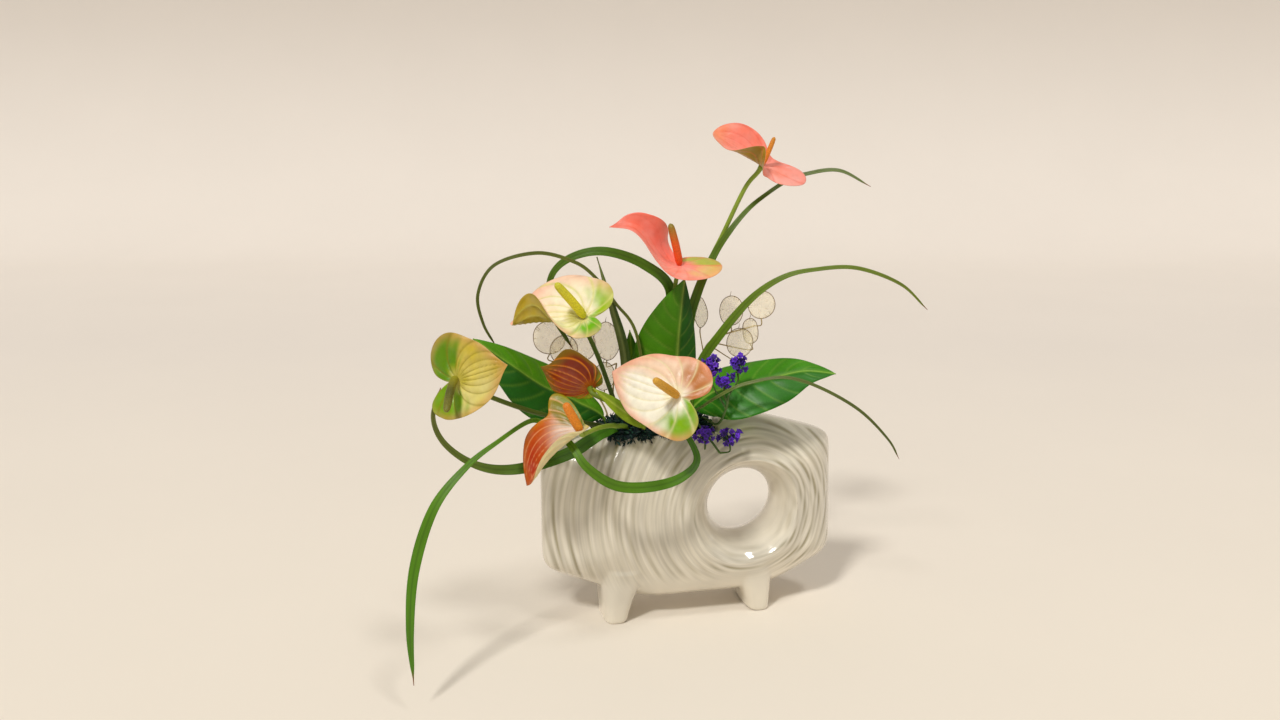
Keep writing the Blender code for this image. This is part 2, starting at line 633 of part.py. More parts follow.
def leaf_rings(spec, route, grow=0.0):
    """Sections of a leaf that is a round petiole first and a folded blade after it."""
    count = len(route)
    side, normal = frames(route, spec["face"])
    rings = []
    for i, (p, s, n) in enumerate(zip(route, side, normal)):
        share = (i / (count - 1) - spec["blade_from"]) / (1 - spec["blade_from"])
        width = leaf_profile(share, spec["widest"]) if share > 0 else 0.0
        core = PETIOLE_RADIUS * (1 - 0.6 * max(share, 0.0)) + grow
        ring = []
        for sign, half, fold in ((-1, spec["halves"][0], spec["fold"][0]), (1, spec["halves"][1], spec["fold"][1])):
            reach = core + max(half * width - core, 0.0) if width > 0 else core
            out = sign * s * cos(radians(fold)) - n * sin(radians(fold))
            half_thick = LEAF_THICK / 2 + grow if width > 0 else core * 0.5
            rim = [p + out * reach + n * half_thick, p + out * reach - n * half_thick]
            ring.append((rim, p + out * reach * 0.45 + n * half_thick, p + out * reach * 0.45 - n * half_thick))
        (left, left_top, left_under), (right, right_top, right_under) = ring
        rings.append([left[0], left_top, p + n * core * 0.9, right_top, right[0],
                      right[1], right_under, p - n * core, left_under, left[1]])
    return rings


def build_leaf(name, spec, colour):
    route = smooth_route(spec["midrib"], 18)
    solid(name, *skin(leaf_rings(spec, route)), material(name, colour, 0.3))
    guide(name + "_socket", *skin(rooted(leaf_rings(spec, route, SOCKET))))


def build_strap(name, spec, colour):
    route = smooth_route(spec["route"], 2 * len(spec["route"]) + 5)
    shape = (route, spec["width"], spec["face"], STRAP_THICK, STRAP_KEEL)
    solid(name, *skin(ribbon_rings(*shape)), material(name, colour, 0.35))
    guide(name + "_socket", *skin(rooted(ribbon_rings(*shape, SOCKET))))


def pod_foot(spec):
    """The middle of a pod's lowest edge."""
    centre, _, half_high, _ = spec
    return np.asarray(centre, float) - (0, 0, half_high * cos(pi / POD_SIDES))


def build_pod(name, spec, colour):
    centre, half_wide, half_high, turn = spec
    side = np.array([cos(radians(turn)), sin(radians(turn)), 0.0])
    normal = np.array([-side[1], side[0], 0.0])
    rings = []
    for share, y in ((0.9, -POD_THICK / 2), (1.0, 0.0), (0.9, POD_THICK / 2)):
        rings.append([np.asarray(centre) + share * half_wide * cos(a) * side + y * normal
                      + np.array([0, 0, share * half_high * sin(a)]) for a in np.arange(POD_SIDES) * 2 * pi / POD_SIDES])
    return solid(name, *skin(rings), material(name, colour, 0.35))


def head_foot(spec):
    """The middle of a flower head's flat underside."""
    centre, sizes = spec
    return np.asarray(centre, float) - (0, 0, sizes[2] * sin(radians(HEAD_POLE)))


def build_head(name, spec, colour):
    centre, sizes = spec
    rings = []
    for lat in np.linspace(-HEAD_POLE, HEAD_POLE, 6):
        ring = []
        for j in range(12):
            a = 2 * pi * j / 12
            bump = 1.0 + 0.10 * (-1) ** j
            ring.append((centre[0] + sizes[0] * cos(radians(lat)) * cos(a) * bump,
                         centre[1] + sizes[1] * cos(radians(lat)) * sin(a) * bump,
                         centre[2] + sizes[2] * sin(radians(lat))))
        rings.append(ring)
    return solid(name, *skin(rings), material(name, colour, 0.8))


def build_sprig(name, spec, feet, radius, colour):
    """A stem with one branch up to the foot of each thing that it carries, in one piece."""
    route = smooth_route(spec["stem"], 13)
    stem = solid(name, *tube(route, (radius, radius * 0.9), 5), material(name, colour, 0.6))
    for carried, share in spec["carries"].items():
        start = route[int(round(share * 12))]
        foot = feet[carried] - (0, 0, JOINT_GAP)
        branch = smooth_route([start, foot - (0, 0, 7.0), foot], 7)
        cut(stem, guide(carried + "_branch", *tube(branch, (radius * 0.85, radius * 0.7), 4)), "UNION")
    guide(name + "_socket", *skin(rooted(tube_rings(route, (radius + SOCKET,), 5))))


def build_filling():
    foam = solid("floral_foam", *skin(well_rings(FOAM_MARGIN, WELL_FLOOR + FOAM_MARGIN, FOAM_TOP)),
                 material("floral_foam", (0.10, 0.28, 0.12), 0.95))
    rings = well_rings(FOAM_MARGIN, FOAM_TOP + 0.4, MOUTH_Z - 1.0)
    top = rounded_ring(MOUTH_X[0] + 12, MOUTH_X[1] - 8, WELL_HALF_DEPTH - 9, MOSS_TOP, power=3.0)
    moss = solid("moss", *skin([*rings, top]), material("moss", (0.02, 0.08, 0.07), 0.9))
    for tool in list(CUTTERS.objects):
        if tool.name.endswith("_socket"):
            cut(foam, tool)
            cut(moss, tool)


def centre_on_origin():
    """Hang everything on one empty that puts the middle of the whole footprint at the origin."""
    scene_state = bpy.context.evaluated_depsgraph_get()
    corners = np.vstack([[c[:2] for c in obj.evaluated_get(scene_state).bound_box] for obj in PARTS.objects])
    middle = (corners.min(axis=0) + corners.max(axis=0)) / 2
    arrangement = bpy.data.objects.new("arrangement", None)
    bpy.context.scene.collection.objects.link(arrangement)
    arrangement.location = (-middle[0], -middle[1], 0.0)
    for obj in [*PARTS.objects, *CUTTERS.objects]:
        obj.parent = arrangement


# ================================================================ build
clear_scene()
PARTS = new_collection("ikebana")
CUTTERS = new_collection("cutters")

build_vase()
build_flower("anthurium_1", FLOWERS["anthurium_1"], (0.86, 0.30, 0.24), (0.90, 0.45, 0.08), (0.28, 0.42, 0.06))
build_flower("anthurium_2", FLOWERS["anthurium_2"], (0.88, 0.32, 0.26), (0.88, 0.25, 0.04), (0.28, 0.42, 0.06))
build_flower("anthurium_3", FLOWERS["anthurium_3"], (0.80, 0.72, 0.45), (0.70, 0.62, 0.03), (0.10, 0.14, 0.03))
build_flower("anthurium_4", FLOWERS["anthurium_4"], (0.62, 0.56, 0.18), (0.55, 0.50, 0.06), (0.13, 0.22, 0.04))
build_flower("anthurium_5", FLOWERS["anthurium_5"], (0.42, 0.10, 0.03), (0.75, 0.45, 0.06), (0.13, 0.22, 0.04))
build_flower("anthurium_6", FLOWERS["anthurium_6"], (0.80, 0.28, 0.08), (0.90, 0.42, 0.04), (0.20, 0.35, 0.05))
build_flower("anthurium_7", FLOWERS["anthurium_7"], (0.84, 0.70, 0.52), (0.80, 0.48, 0.06), (0.20, 0.35, 0.05))
for leaf_name, leaf_spec in LEAVES.items():
    build_leaf(leaf_name, leaf_spec, (0.03, 0.20, 0.03))
for strap_name, strap_spec in STRAPS.items():
    build_strap(strap_name, strap_spec, (0.08, 0.22, 0.03))
for pod_name, pod_spec in PODS.items():
    build_pod(pod_name, pod_spec, (0.82, 0.76, 0.60))
for head_name, head_spec in STATICE_HEADS.items():
    build_head(head_name, head_spec, (0.20, 0.06, 0.50))
pod_feet = {name: pod_foot(spec) for name, spec in PODS.items()}
head_feet = {name: head_foot(spec) for name, spec in STATICE_HEADS.items()}
for sprig_name, sprig_spec in LUNARIA.items():
    build_sprig(sprig_name, sprig_spec, pod_feet, LUNARIA_RADIUS, (0.55, 0.46, 0.30))
for sprig_name, sprig_spec in STATICE.items():
    build_sprig(sprig_name, sprig_spec, head_feet, STATICE_RADIUS, (0.12, 0.20, 0.05))
build_filling()
centre_on_origin()
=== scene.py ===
"""The finished look of the ikebana arrangement: anthuriums, leaves, lily grass, lunaria and statice
in a footed ceramic vase.

Lengths in the tables are millimetres, drawn about the vase's middle; SHIFT carries them into the frame.
X runs along the vase, -Y is its front and Z is up.
"""

from math import cos, pi, radians, sin

import bmesh
import bpy
import numpy as np
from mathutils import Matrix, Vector


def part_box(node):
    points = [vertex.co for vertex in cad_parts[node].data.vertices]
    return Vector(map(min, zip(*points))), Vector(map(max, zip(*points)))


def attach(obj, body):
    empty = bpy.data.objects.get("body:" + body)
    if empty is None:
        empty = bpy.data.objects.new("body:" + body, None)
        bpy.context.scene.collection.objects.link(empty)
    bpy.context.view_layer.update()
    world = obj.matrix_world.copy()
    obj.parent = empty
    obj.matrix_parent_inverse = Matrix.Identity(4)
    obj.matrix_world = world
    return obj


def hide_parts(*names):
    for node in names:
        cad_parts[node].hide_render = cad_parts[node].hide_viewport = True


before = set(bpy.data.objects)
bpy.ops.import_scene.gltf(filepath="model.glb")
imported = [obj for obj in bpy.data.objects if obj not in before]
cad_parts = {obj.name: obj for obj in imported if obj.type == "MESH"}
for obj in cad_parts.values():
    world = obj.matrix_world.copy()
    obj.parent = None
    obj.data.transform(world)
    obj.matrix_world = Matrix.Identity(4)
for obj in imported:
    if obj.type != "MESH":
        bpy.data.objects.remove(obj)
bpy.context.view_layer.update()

MM = 0.001
VASE_MIDDLE_X = 1.3286
vase_lo, vase_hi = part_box("vase")
SHIFT = np.array([(vase_lo[0] + vase_hi[0]) / 2 - VASE_MIDDLE_X * MM, (vase_lo[1] + vase_hi[1]) / 2, 0.0])

# ---------------------------------------------------------------- vase
BODY_CENTRE = (0.0, 110.0)
BODY_HALF_DEPTH = 46.0
BODY_EDGE = 2.5
BODY_SIDES = (          # outward direction (x, z) of each straight side and its distance from the centre
    ((1.00, 0.03), 147.5),
    ((-1.00, 0.00), 146.0),
    ((0.00, -1.00), 93.0),
    ((0.43, -0.90), 117.0),
    ((-0.38, -0.925), 105.5),
    ((0.29, 0.957), 107.0),
    ((-0.23, 0.973), 101.0),
    ((0.00, 1.00), 94.0),
)
CORNER_POWER = 26
DOME_POWER = 3.0
DOME_FULLNESS = 0.55

HOLE_CENTRE = (53.0, 111.0)
HOLE_THROAT = 33.5
HOLE_FLARE = 24.0

MOUTH_X = (-93.0, 20.0)
MOUTH_Z = 189.0
WELL_FLOOR = 92.0
WELL_HALF_DEPTH = 20.5
WELL_FLOOR_X = (-86.0, 10.0)

FOOT_X = (-76.0, 69.0)
FOOT_TOP = (25.0, 38.0)
FOOT_BOTTOM = (12.5, 29.5)
FOOT_TOP_Z = 56.0
FOOT_OUTER_LEAN = 3.0

# ---------------------------------------------------------------- filling
MOSS_TOP = 196.0
ROUTE_FOOT_Z = 140      # every stem, petiole and strap starts at this height, inside the foam


def rise(x, y, top):
    """The upright start of a route, from inside the foam up to a height in the mouth."""
    return (x, y, ROUTE_FOOT_Z), (x, y, top)


# ---------------------------------------------------------------- anthuriums
# at: where stem, spathe and spadix meet. face: the way the spathe looks. tip: the way its point runs.
# reach: outline radii every 30 degrees, from the notch round the left lobe to the tip and back by the right.
# cup: fold of the two halves about the midline, in degrees. tip_cup: extra fold that grows toward the point.
# roll: bend along the midline in front of and behind the joint, in degrees. spadix: direction, length, radius.
# back_cup: extra fold behind the joint. knee: distance over which the fold is spread, where not CUP_KNEE.
# point: how far the tip is drawn out, where not TIP_POINT. slopes: steepness of the midline from joint to tip.
# stem: route from the foam to the back of the spathe.
FLOWERS = {
    "anthurium_1": dict(
        at=(70, 0, 442), face=(0.33, -0.45, 0.82), tip=(-0.85, 0.28, 0.44),
        reach=(43, 43, 25, 22, 38, 51, 55, 42, 30, 23, 18, 28), cup=(26, 95), roll=(4, 8), tip_cup=(14, -85),
        back_cup=(-15, -115), knee=14, point=0,
        spadix=((0.36, -0.10, 0.93), 24, 2.4),
        stem=(*rise(-2, 7, 196), (6, 20, 270), (19, 27, 328), (40, 22, 377), (57, 12, 419)),
    ),
    "anthurium_2": dict(
        at=(-10, 2, 349), face=(-0.02, -0.30, 0.95), tip=(-0.98, 0.20, 0.05),
        reach=(41, 36, 20, 9, 28, 51, 82, 28, 29, 32, 34, 40), cup=(20, 0), roll=(0, 2), tip_cup=(60, 10),
        back_cup=(-20, 0), knee=10, point=24, slopes=(0, 30, 52, 54, 40, -5, -12),
        spadix=((-0.25, -0.05, 0.97), 37, 3.8),
        stem=(*rise(-17, 12, 196), (-15, 12, 270), (-12, 8, 326)),
    ),
    "anthurium_3": dict(
        at=(-108, -30, 309), face=(-0.23, -0.61, 0.76), tip=(-0.94, 0.33, -0.02),
        reach=(12, 30, 42, 46, 54, 62, 71, 62, 33, 28, 28, 22), cup=(4, 10), roll=(-14, 0), tip_cup=(-4, 120),
        knee=12,
        spadix=((-0.62, -0.22, 0.75), 40, 4.2),
        stem=(*rise(-68, 4, 196), (-84, -2, 250), (-103, -20, 294)),
    ),
    "anthurium_4": dict(
        at=(-225, -75, 266), face=(-0.60, -0.72, 0.34), tip=(0.79, -0.50, 0.35),
        reach=(8, 32, 35, 35, 37, 41, 51, 39, 38, 42, 37, 25), cup=(12, 12), roll=(-8, 6), tip_cup=(0, 0),
        spadix=((-0.19, -0.78, -0.38), 42, 3.6),
        stem=(*rise(-80, -9, 190), (-106, -24, 206), (-150, -40, 222), (-192, -52, 242), (-218, -62, 259)),
    ),
    "anthurium_5": dict(
        at=(-105, -45, 246), face=(-0.24, 0.80, 0.50), tip=(-0.84, -0.34, 0.46),
        reach=(9, 16, 22, 26, 30, 35, 56, 48, 28, 19, 15, 13), cup=(44, 44), roll=(18, 20), tip_cup=(0, 0),
        point=13,
        spadix=((-0.72, 0.42, 0.50), 24, 3.0),
        stem=(*rise(-56, -1, 192), (-72, -24, 218), (-90, -52, 234)),
    ),
    "anthurium_6": dict(
        at=(-121, -88, 219), face=(-0.34, -0.58, 0.74), tip=(-0.93, -0.20, -0.34),
        reach=(8, 8, 16, 44, 34, 55, 72, 32, 14, 9, 9, 10), cup=(12, 105), roll=(-38, 4), tip_cup=(0, 0),
        knee=10,
        spadix=((-0.45, -0.15, 0.88), 27, 4.2),
        stem=(*rise(-61, -10, 190), (-80, -40, 206), (-97, -58, 211), (-114, -80, 213)),
    ),
    "anthurium_7": dict(
        at=(-35, -95, 247), face=(-0.48, -0.74, 0.47), tip=(-0.75, 0.63, 0.22),
        reach=(13, 30, 37, 37, 38, 50, 70, 52, 40, 38, 40, 32), cup=(-4, -10), roll=(-8, -12), tip_cup=(0, 0),
        spadix=((-0.66, -0.52, 0.54), 36, 4.0),
        stem=(*rise(-34, -12, 196), (-32, -40, 224), (-30, -74, 238)),
    ),
}
SPATHE_THICK = 1.2
STEM_RADIUS = 2.5
TIP_POINT = 9.0
CUP_KNEE = 24.0         # distance over which a fold across the spathe is spread
ROLL_KNEE = 55.0        # distance over which a bend along it is spread

# ---------------------------------------------------------------- broad leaves
# midrib: petiole foot, petiole end, then along the blade. halves: widest half width on each side.
# face: the way the upper side looks. fold: how far each half folds back, degrees.
LEAVES = {
    "leaf_upright": dict(
        midrib=(*rise(-13, -2, 205), (-11, 0, 264), (-8, 0, 304), (-5, -2, 336)),
        blade_from=0.34, halves=(44, 20), face=(-0.25, -0.95, 0.10), fold=(8, 30), widest=0.34,
    ),
    "leaf_left": dict(
        midrib=(*rise(-79, 3, 196), (-110, -4, 222), (-143, -12, 241), (-170, -12, 261), (-206, -8, 288)),
        blade_from=0.30, halves=(34, 26), face=(0.20, -0.80, 0.56), fold=(10, 14), widest=0.40,
    ),
    "leaf_right": dict(
        midrib=(*rise(-5, -7, 196), (13, -30, 229), (40, -40, 238), (70, -46, 246), (100, -50, 252),
                (130, -54, 249)),
        blade_from=0.34, halves=(30, 34), face=(-0.10, -0.62, 0.78), fold=(12, 12), widest=0.36,
    ),
    "leaf_olive": dict(
        midrib=(*rise(-46, -14, 190), (-58, -44, 210), (-78, -57, 227), (-105, -69, 251)),
        blade_from=0.42, halves=(8, 8), face=(-0.2, -0.7, 0.65), fold=(10, 10), widest=0.45,
    ),
    "leaf_back": dict(
        midrib=(*rise(-48, 14, 198), (-50, 25, 240), (-52, 30, 282)),
        blade_from=0.40, halves=(11, 11), face=(-0.2, -0.95, 0.1), fold=(12, 12), widest=0.45,
    ),
    "leaf_spear": dict(
        midrib=(*rise(-59, 13, 200), (-61, 8, 261), (-72, 10, 306), (-80, 12, 333), (-87, 12, 357)),
        blade_from=0.26, halves=(5, 5), face=(-0.2, -0.95, 0.1), fold=(24, 24), widest=0.35,
    ),
}
LEAF_THICK = 1.1
PETIOLE_RADIUS = 1.9

# ---------------------------------------------------------------- lily grass
# route: points from inside the foam to the tip. width: full width at even steps along it.
# face: the way the flat side looks, at the start and at the tip.
STRAPS = {
    "strap_long_loop": dict(
        route=(*rise(-22, -14, 192), (-16, -38, 199), (-8, -66, 178), (-27, -82, 166), (-58, -92, 163),
               (-91, -99, 169), (-116, -98, 187), (-129, -83, 205), (-144, -62, 214), (-160, -58, 221),
               (-194, -92, 213), (-222, -112, 199), (-250, -124, 169), (-268, -134, 121), (-274, -144, 71),
               (-273, -152, 25)),
        width=(5, 5, 5, 6, 9, 10, 9, 7, 5, 4, 4, 6, 9, 10, 9, 7, 1.5), face=((-0.2, -0.8, 0.5), (-0.5, -0.85, 0.1)),
    ),
    "strap_return_loop": dict(
        route=(*rise(-71, -14, 192), (-91, -37, 200), (-125, -51, 186), (-172, -62, 178),
               (-208, -68, 185), (-236, -68, 206), (-246, -56, 228), (-238, -36, 250)),
        width=(5, 6, 12, 12, 11, 9, 6, 5, 3), face=((-0.2, -0.7, 0.6), (0.5, -0.8, 0.2)),
    ),
    "strap_thin_arch": dict(
        route=(*rise(-40, 5, 200), (-50, 5, 281), (-71, 5, 314), (-91, 3, 340), (-111, 0, 355),
               (-145, 0, 364), (-184, 0, 354), (-200, -2, 328), (-196, 0, 300), (-184, 6, 276)),
        width=(3, 3, 3, 3, 3, 3, 3.5, 3.5, 3, 3, 2), face=((-0.2, -0.95, 0.1), (-0.2, -0.95, 0.2)),
    ),
    "strap_wide_arch": dict(
        route=(*rise(-27, 14, 200), (-22, 18, 270), (-15, 14, 322), (-42, 10, 349), (-80, 6, 363),
               (-110, 12, 358), (-128, 22, 341), (-132, 26, 315), (-128, 14, 299), (-112, 4, 271)),
        width=(5, 6, 7, 10, 10, 10, 9, 8, 6, 5, 3), face=((-0.2, -0.9, 0.4), (-0.3, -0.9, 0.2)),
    ),
    "strap_top_right": dict(
        route=(*rise(-8.6, 13.4, 200), (-4, 12, 262), (9, 10, 315), (28, 18, 353), (43, 14, 378), (63, 18, 399),
               (84, 24, 413), (104, 28, 424), (122, 24, 431), (151, 10, 435), (178, -5, 420)),
        width=(5, 6, 8, 10, 10, 9, 7, 5, 4, 4, 4, 1.5), face=((-0.2, -0.95, 0.1), (-0.2, -0.8, 0.5)),
    ),
    "strap_middle_right": dict(
        route=(*rise(6, 3, 200), (10, -2, 248), (29, -14, 285), (56, -22, 319), (83, -31, 339),
               (112, -36, 346), (152, -41, 347), (195, -46, 331), (222, -50, 306)),
        width=(5, 6, 9, 9, 8, 6, 4, 4, 3.5, 1.5), face=((-0.3, -0.9, 0.3), (-0.2, -0.8, 0.5)),
    ),
    "strap_thin_right": dict(
        route=(*rise(-3, -15, 200), (1, -52, 224), (20, -74, 244), (38, -78, 251), (68, -86, 256), (100, -90, 246),
               (140, -90, 222), (170, -90, 192), (182, -90, 172)),
        width=(3, 3, 3, 3, 3, 3, 3, 3, 2.5, 1.5), face=((-0.2, -0.7, 0.6), (-0.2, -0.9, 0.3)),
    ),
}
STRAP_THICK = 0.9
STRAP_KEEL = 0.7

# ---------------------------------------------------------------- lunaria and statice
# A sprig has a stem route and, for each thing it carries, the share of the route where that branch leaves.
LUNARIA = {
    "lunaria_stem_left": dict(
        stem=(*rise(-77, 13, 198), (-90, 30, 226), (-104, 34, 250)),
        carries={"pod_left_1": 1.0, "pod_left_2": 0.9, "pod_left_3": 0.85},
    ),
    "lunaria_stem_middle": dict(
        stem=(*rise(-68, 15, 198), (-70, 24, 222), (-66, 26, 250)),
        carries={"pod_middle_1": 1.0, "pod_middle_2": 0.72},
    ),
    "lunaria_stem_right": dict(
        stem=(*rise(8, 12, 198), (22, 40, 232), (36, 52, 262), (84, 58, 275)),
        carries={"pod_right_1": 0.66, "pod_right_2": 0.82, "pod_right_3": 1.0, "pod_right_4": 0.72,
                 "pod_right_5": 0.74},
    ),
}
PODS = {                # centre, half width, half height, turn about Z in degrees
    "pod_left_1": ((-132, 24, 279), 16, 16, -14),
    "pod_left_2": ((-119, 17, 268), 14, 14, 10),
    "pod_left_3": ((-99, 28, 269), 13, 15, -20),
    "pod_middle_1": ((-76, 24, 273), 13, 19, -30),
    "pod_middle_2": ((-80, 16, 240), 11, 14, 12),
    "pod_right_1": ((20, 32, 296), 8, 15, -48),
    "pod_right_2": ((53, 36, 296), 12, 15, -20),
    "pod_right_3": ((86, 40, 300), 14, 14, -8),
    "pod_right_4": ((61, 31, 264), 13, 15, -12),
    "pod_right_5": ((77, 47, 272), 9, 13, -40),
}
LUNARIA_RADIUS = 0.9

STATICE = {
    "statice_stem_upper": dict(
        stem=(*rise(10, -6, 196), (17, -44, 203), (20, -62, 222), (21, -66, 236)),
        carries={"statice_head_1": 0.9, "statice_head_2": 1.0, "statice_head_3": 0.95},
    ),
    "statice_stem_lower": dict(
        stem=(*rise(4, -13, 192), (3, -34, 199), (9, -46, 190), (17, -55, 178)),
        carries={"statice_head_4": 0.8, "statice_head_5": 1.0},
    ),
}
STATICE_HEADS = {       # centre and the three half sizes
    "statice_head_1": ((6, -60, 264), (7, 6, 9)),
    "statice_head_2": ((32, -58, 264), (8, 6, 10)),
    "statice_head_3": ((17, -66, 250), (8, 5, 6)),
    "statice_head_4": ((3, -53, 197), (7, 6, 8)),
    "statice_head_5": ((27, -53, 193), (10, 6, 8)),
}
STATICE_RADIUS = 1.2
POD_SIDES = 16          # sides of a pod in the CAD, whose lowest flat stands on its twig
HEAD_POLE = 75.0        # latitude, in degrees, where a flower head in the CAD ends in a flat

# ---------------------------------------------------------------- fine shapes
CLAY_GRAIN = 0.0011     # metres between the points of the vase's surface
GROOVE_DEPTH = 0.42     # of the combed lines
DENT_DEPTH = 1.1        # of the broad hollows
FOOT_FILLET = 1.0       # how far a foot spreads where it meets the body
COMBS = (               # spacing of the grooves in mm, weight, wander in mm, lobes round the hole, start
    (9.4, 0.55, 4.5, 2, 0.3),
    (6.1, 0.50, 2.0, 3, 1.9),
    (14.5, 0.45, 6.0, 1, 4.1),
    (4.3, 0.30, 0.8, 3, 2.6),
)
VEIN_COUNT = 7.0        # main veins of a spathe, where its look gives no vein_count
BACK_WEIGHT = 0.9       # how much of a spathe's back takes its back colour, where not back_weight
FLORETS_PER_HEAD = 27
MOSS_LEAFLETS = 1300
MOSS_DROOPS = 54        # tufts that hang over the lip at the front
MOSS_SEED, POD_SEED, HEAD_SEED = 11, 5, 3

ATTRIBUTE_KEYS = {"FLOAT": "value", "FLOAT_VECTOR": "vector", "FLOAT_COLOR": "color"}
TUBE_FACE = (0.31, -0.93, 0.17)     # a direction that no tube runs along
LEAF_RIBS = 9.0         # side veins along a leaf
LEAF_KNEE = 9.0         # distance over which the fold of a leaf is spread
STRAP_STEP = 2.2        # mm between the rows of a strap
GOLDEN_ANGLE = 2.39996
UNMARKED = 0.55         # what a noise reads as where the clay is not combed

# ---------------------------------------------------------------- camera and light
CAMERA_PLACE = (-261.7, -1005.2, 495.6)
CAMERA_TURN = radians(-12.0)
CAMERA_DIP = 13.0
CAMERA_LENS = 30.94
ROOM_LIGHT = 0.36

# ---------------------------------------------------------------- colours
# Written as hex so that they read at a glance; tone() turns them into linear light.
# body, halves, lobes, rim, tip and throat colour a spathe's face, each with where it starts and how strong it is;
# relief is how far it swells between its veins, in mm. spadix: colour at its foot, middle and tip. stem: colour
# near the filling and near the spathe.
FLOWER_LOOKS = {
    "anthurium_1": dict(
        body="ff9a86", halves=("ff8f7c", "ffa896"), lobes=(("ffa99c", 100, 150, 0.4), ("ffab9e", 100, 150, 0.4)),
        rim=("ff8a70", 0.90, 0.35), tip=("f4b47a", 0.80, 0.5), throat=("ffb8a4", 8, 0.5), vein=("f26a58", 0.40),
        back="97800a", relief=0.6,
        spadix=("f08a1a", "f5961e", "d8902a"), stem=("6d9018", "8fa83a"),
    ),
    "anthurium_2": dict(
        body="ff8f7e", halves=("ff8272", "ffa390"), lobes=(("b4bc48", 85, 130, 0.15), ("e8c070", 100, 155, 0.3)),
        rim=("ff8a78", 0.88, 0.6), tip=("dc5a3e", 0.86, 0.8), throat=("ffa994", 8, 0.5), vein=("f0705c", 0.35),
        back="f58272", relief=0.45,
        spadix=("f24e0a", "f2600e", "8d8424"), stem=("5d8418", "7d9630"),
    ),
    "anthurium_3": dict(
        body="fbf0c8", halves=("fbf0d0", "f2edb4"), lobes=(("98c01c", 80, 132, 0.25), ("6fb40c", 60, 110, 0.15)),
        # the olive throat of anthurium_3 is painted shadow, where its spadix shades the spathe
        rim=("fbb096", 0.72, 0.5), tip=("ffa688", 0.45, 0.6), throat=("c8c450", 15, 0.75), vein=("d8d878", 0.65),
        back="b09a12", relief=2.0,
        spadix=("e6dc1c", "ecdf24", "d6d233"), stem=("3c4a1c", "5f7a24"),
    ),
    "anthurium_4": dict(
        body="d8c86c", halves=("dccf7c", "c9b548"), lobes=(("74a008", 62, 92, 0.0), ("5f8c04", 60, 90, 0.0)),
        rim=("cf9a5c", 0.88, 0.6), tip=("a47c08", 0.55, 0.6), throat=("b4a82c", 12, 0.6), vein=("8a7c0a", 0.55),
        back="9fb030", relief=1.5,
        spadix=("a9a31c", "55560e", "7d7a1c"), stem=("3c4c12", "5a6c18"),
    ),
    "anthurium_5": dict(
        body="a83c08", halves=("b4480a", "7c2406"), lobes=(("b0cc14", 74, 120, 0.30), ("768c0a", 64, 110, 0.30)),
        rim=("848410", 0.86, 0.6), tip=("6c1c0a", 0.70, 0.6), throat=("d07a18", 10, 0.6), vein=("ec8a22", 0.9),
        back="8e2e08", back_weight=0.15, relief=0.9,
        spadix=("c8a01e", "cf9c1e", "b88a1c"), stem=("4f6c1a", "6b7f20"),
    ),
    "anthurium_6": dict(
        body="dc941c", halves=("d8801a", "f0d9a8"), lobes=(("6a8c04", 44, 76, -0.2), ("d8c850", 80, 130, 0.3)),
        rim=("c8962a", 0.93, 0.3), tip=("b01a08", -0.25, 1.0), throat=("fffbe6", 30, 1.0), vein=("f4b078", 0.55),
        vein_count=12.0, back="e2d8a0", relief=0.6,
        spadix=("f29a12", "f08c10", "ee8a20"), stem=("6f9420", "93a83a"),
    ),
    "anthurium_7": dict(
        body="fcf7e6", halves=("f2d2b4", "fbf6e2"), lobes=(("c07a42", 58, 108, 0.15), ("7fae1a", 62, 108, 0.2)),
        rim=("f0a080", 0.88, 0.65), tip=("f2ac8a", 0.74, 0.5), throat=("efe6b0", 12, 0.6), vein=("e6dca4", 0.55),
        back="d9cf8a", relief=1.1,
        spadix=("e2a01c", "dfa022", "e6ae3c"), stem=("6f9420", "93a83a"),
    ),
}
LEAF_LOOKS = {          # the two halves (the darker half is painted shade), the midrib and the underside
    "leaf_upright": ("427a04", "1f540c", "8aa040", "6f9a30"),
    "leaf_left": ("1f5a10", "4f8c0c", "86ae38", "6f9a30"),
    "leaf_right": ("3c800a", "2a7010", "93bd48", "6f9a30"),
    "leaf_olive": ("86a018", "769416", "aabb48", "94a82a"),
    "leaf_back": ("4f8a10", "447a10", "8fae38", "789838"),
    "leaf_spear": ("66743c", "445c24", "8d9a5c", "5e6a34"),
}
STRAP_LOOKS = {         # colour at the foot, half way and at the tip
    "strap_long_loop": ("3f7414", "5a8410", "477a0e"),
    "strap_return_loop": ("3c7a18", "4a7414", "716e38"),
    "strap_thin_arch": ("5e6a26", "66702a", "566020"),
    "strap_wide_arch": ("447014", "4c7814", "566f20"),
    "strap_top_right": ("4f9010", "5a7a1c", "66743a"),
    "strap_middle_right": ("4f7c14", "627e16", "727e30"),
    "strap_thin_right": ("86a04e", "66743a", "566028"),
}
BROWN_TIP = "8a3a1e"
GLAZE_POOL_AND_SHADE_TONES = ("ebe4d4", "988e6a")              # on the ridges, and in the grooves: pooled glaze darkened by painted shade
FOAM_TONES = ("2c5a34", "1f4328")
PAPER_LIGHT_FALLOFF_TONES = ("efe7da", "e1dad2")              # lighter on the floor in front, darker on the backdrop behind: painted light falling off toward the back
STRAW_TONES = ("a8925e", "c2ad7c")              # at the foot and the tip of a lunaria stem
TWIG_TONES = ("3f5a24", "54703a")               # and of a statice stem
POD_TONES = ("fff4d2", "e2ca8c", "7c6238")      # skin, seed marks and rim
STALK_TONE = "4a6a2c"
CALYX_TONE = "6b8a4a"
# very dark teal: the moss's own colour deepened by painted shade from the flowers above
MOSS_AND_SHADE_TONES = ("08302c", "0c3c34", "06242a", "164a38")
FLORET_TONES = ("4a1fa0", "5a26c0", "6e34d4", "3c1888")


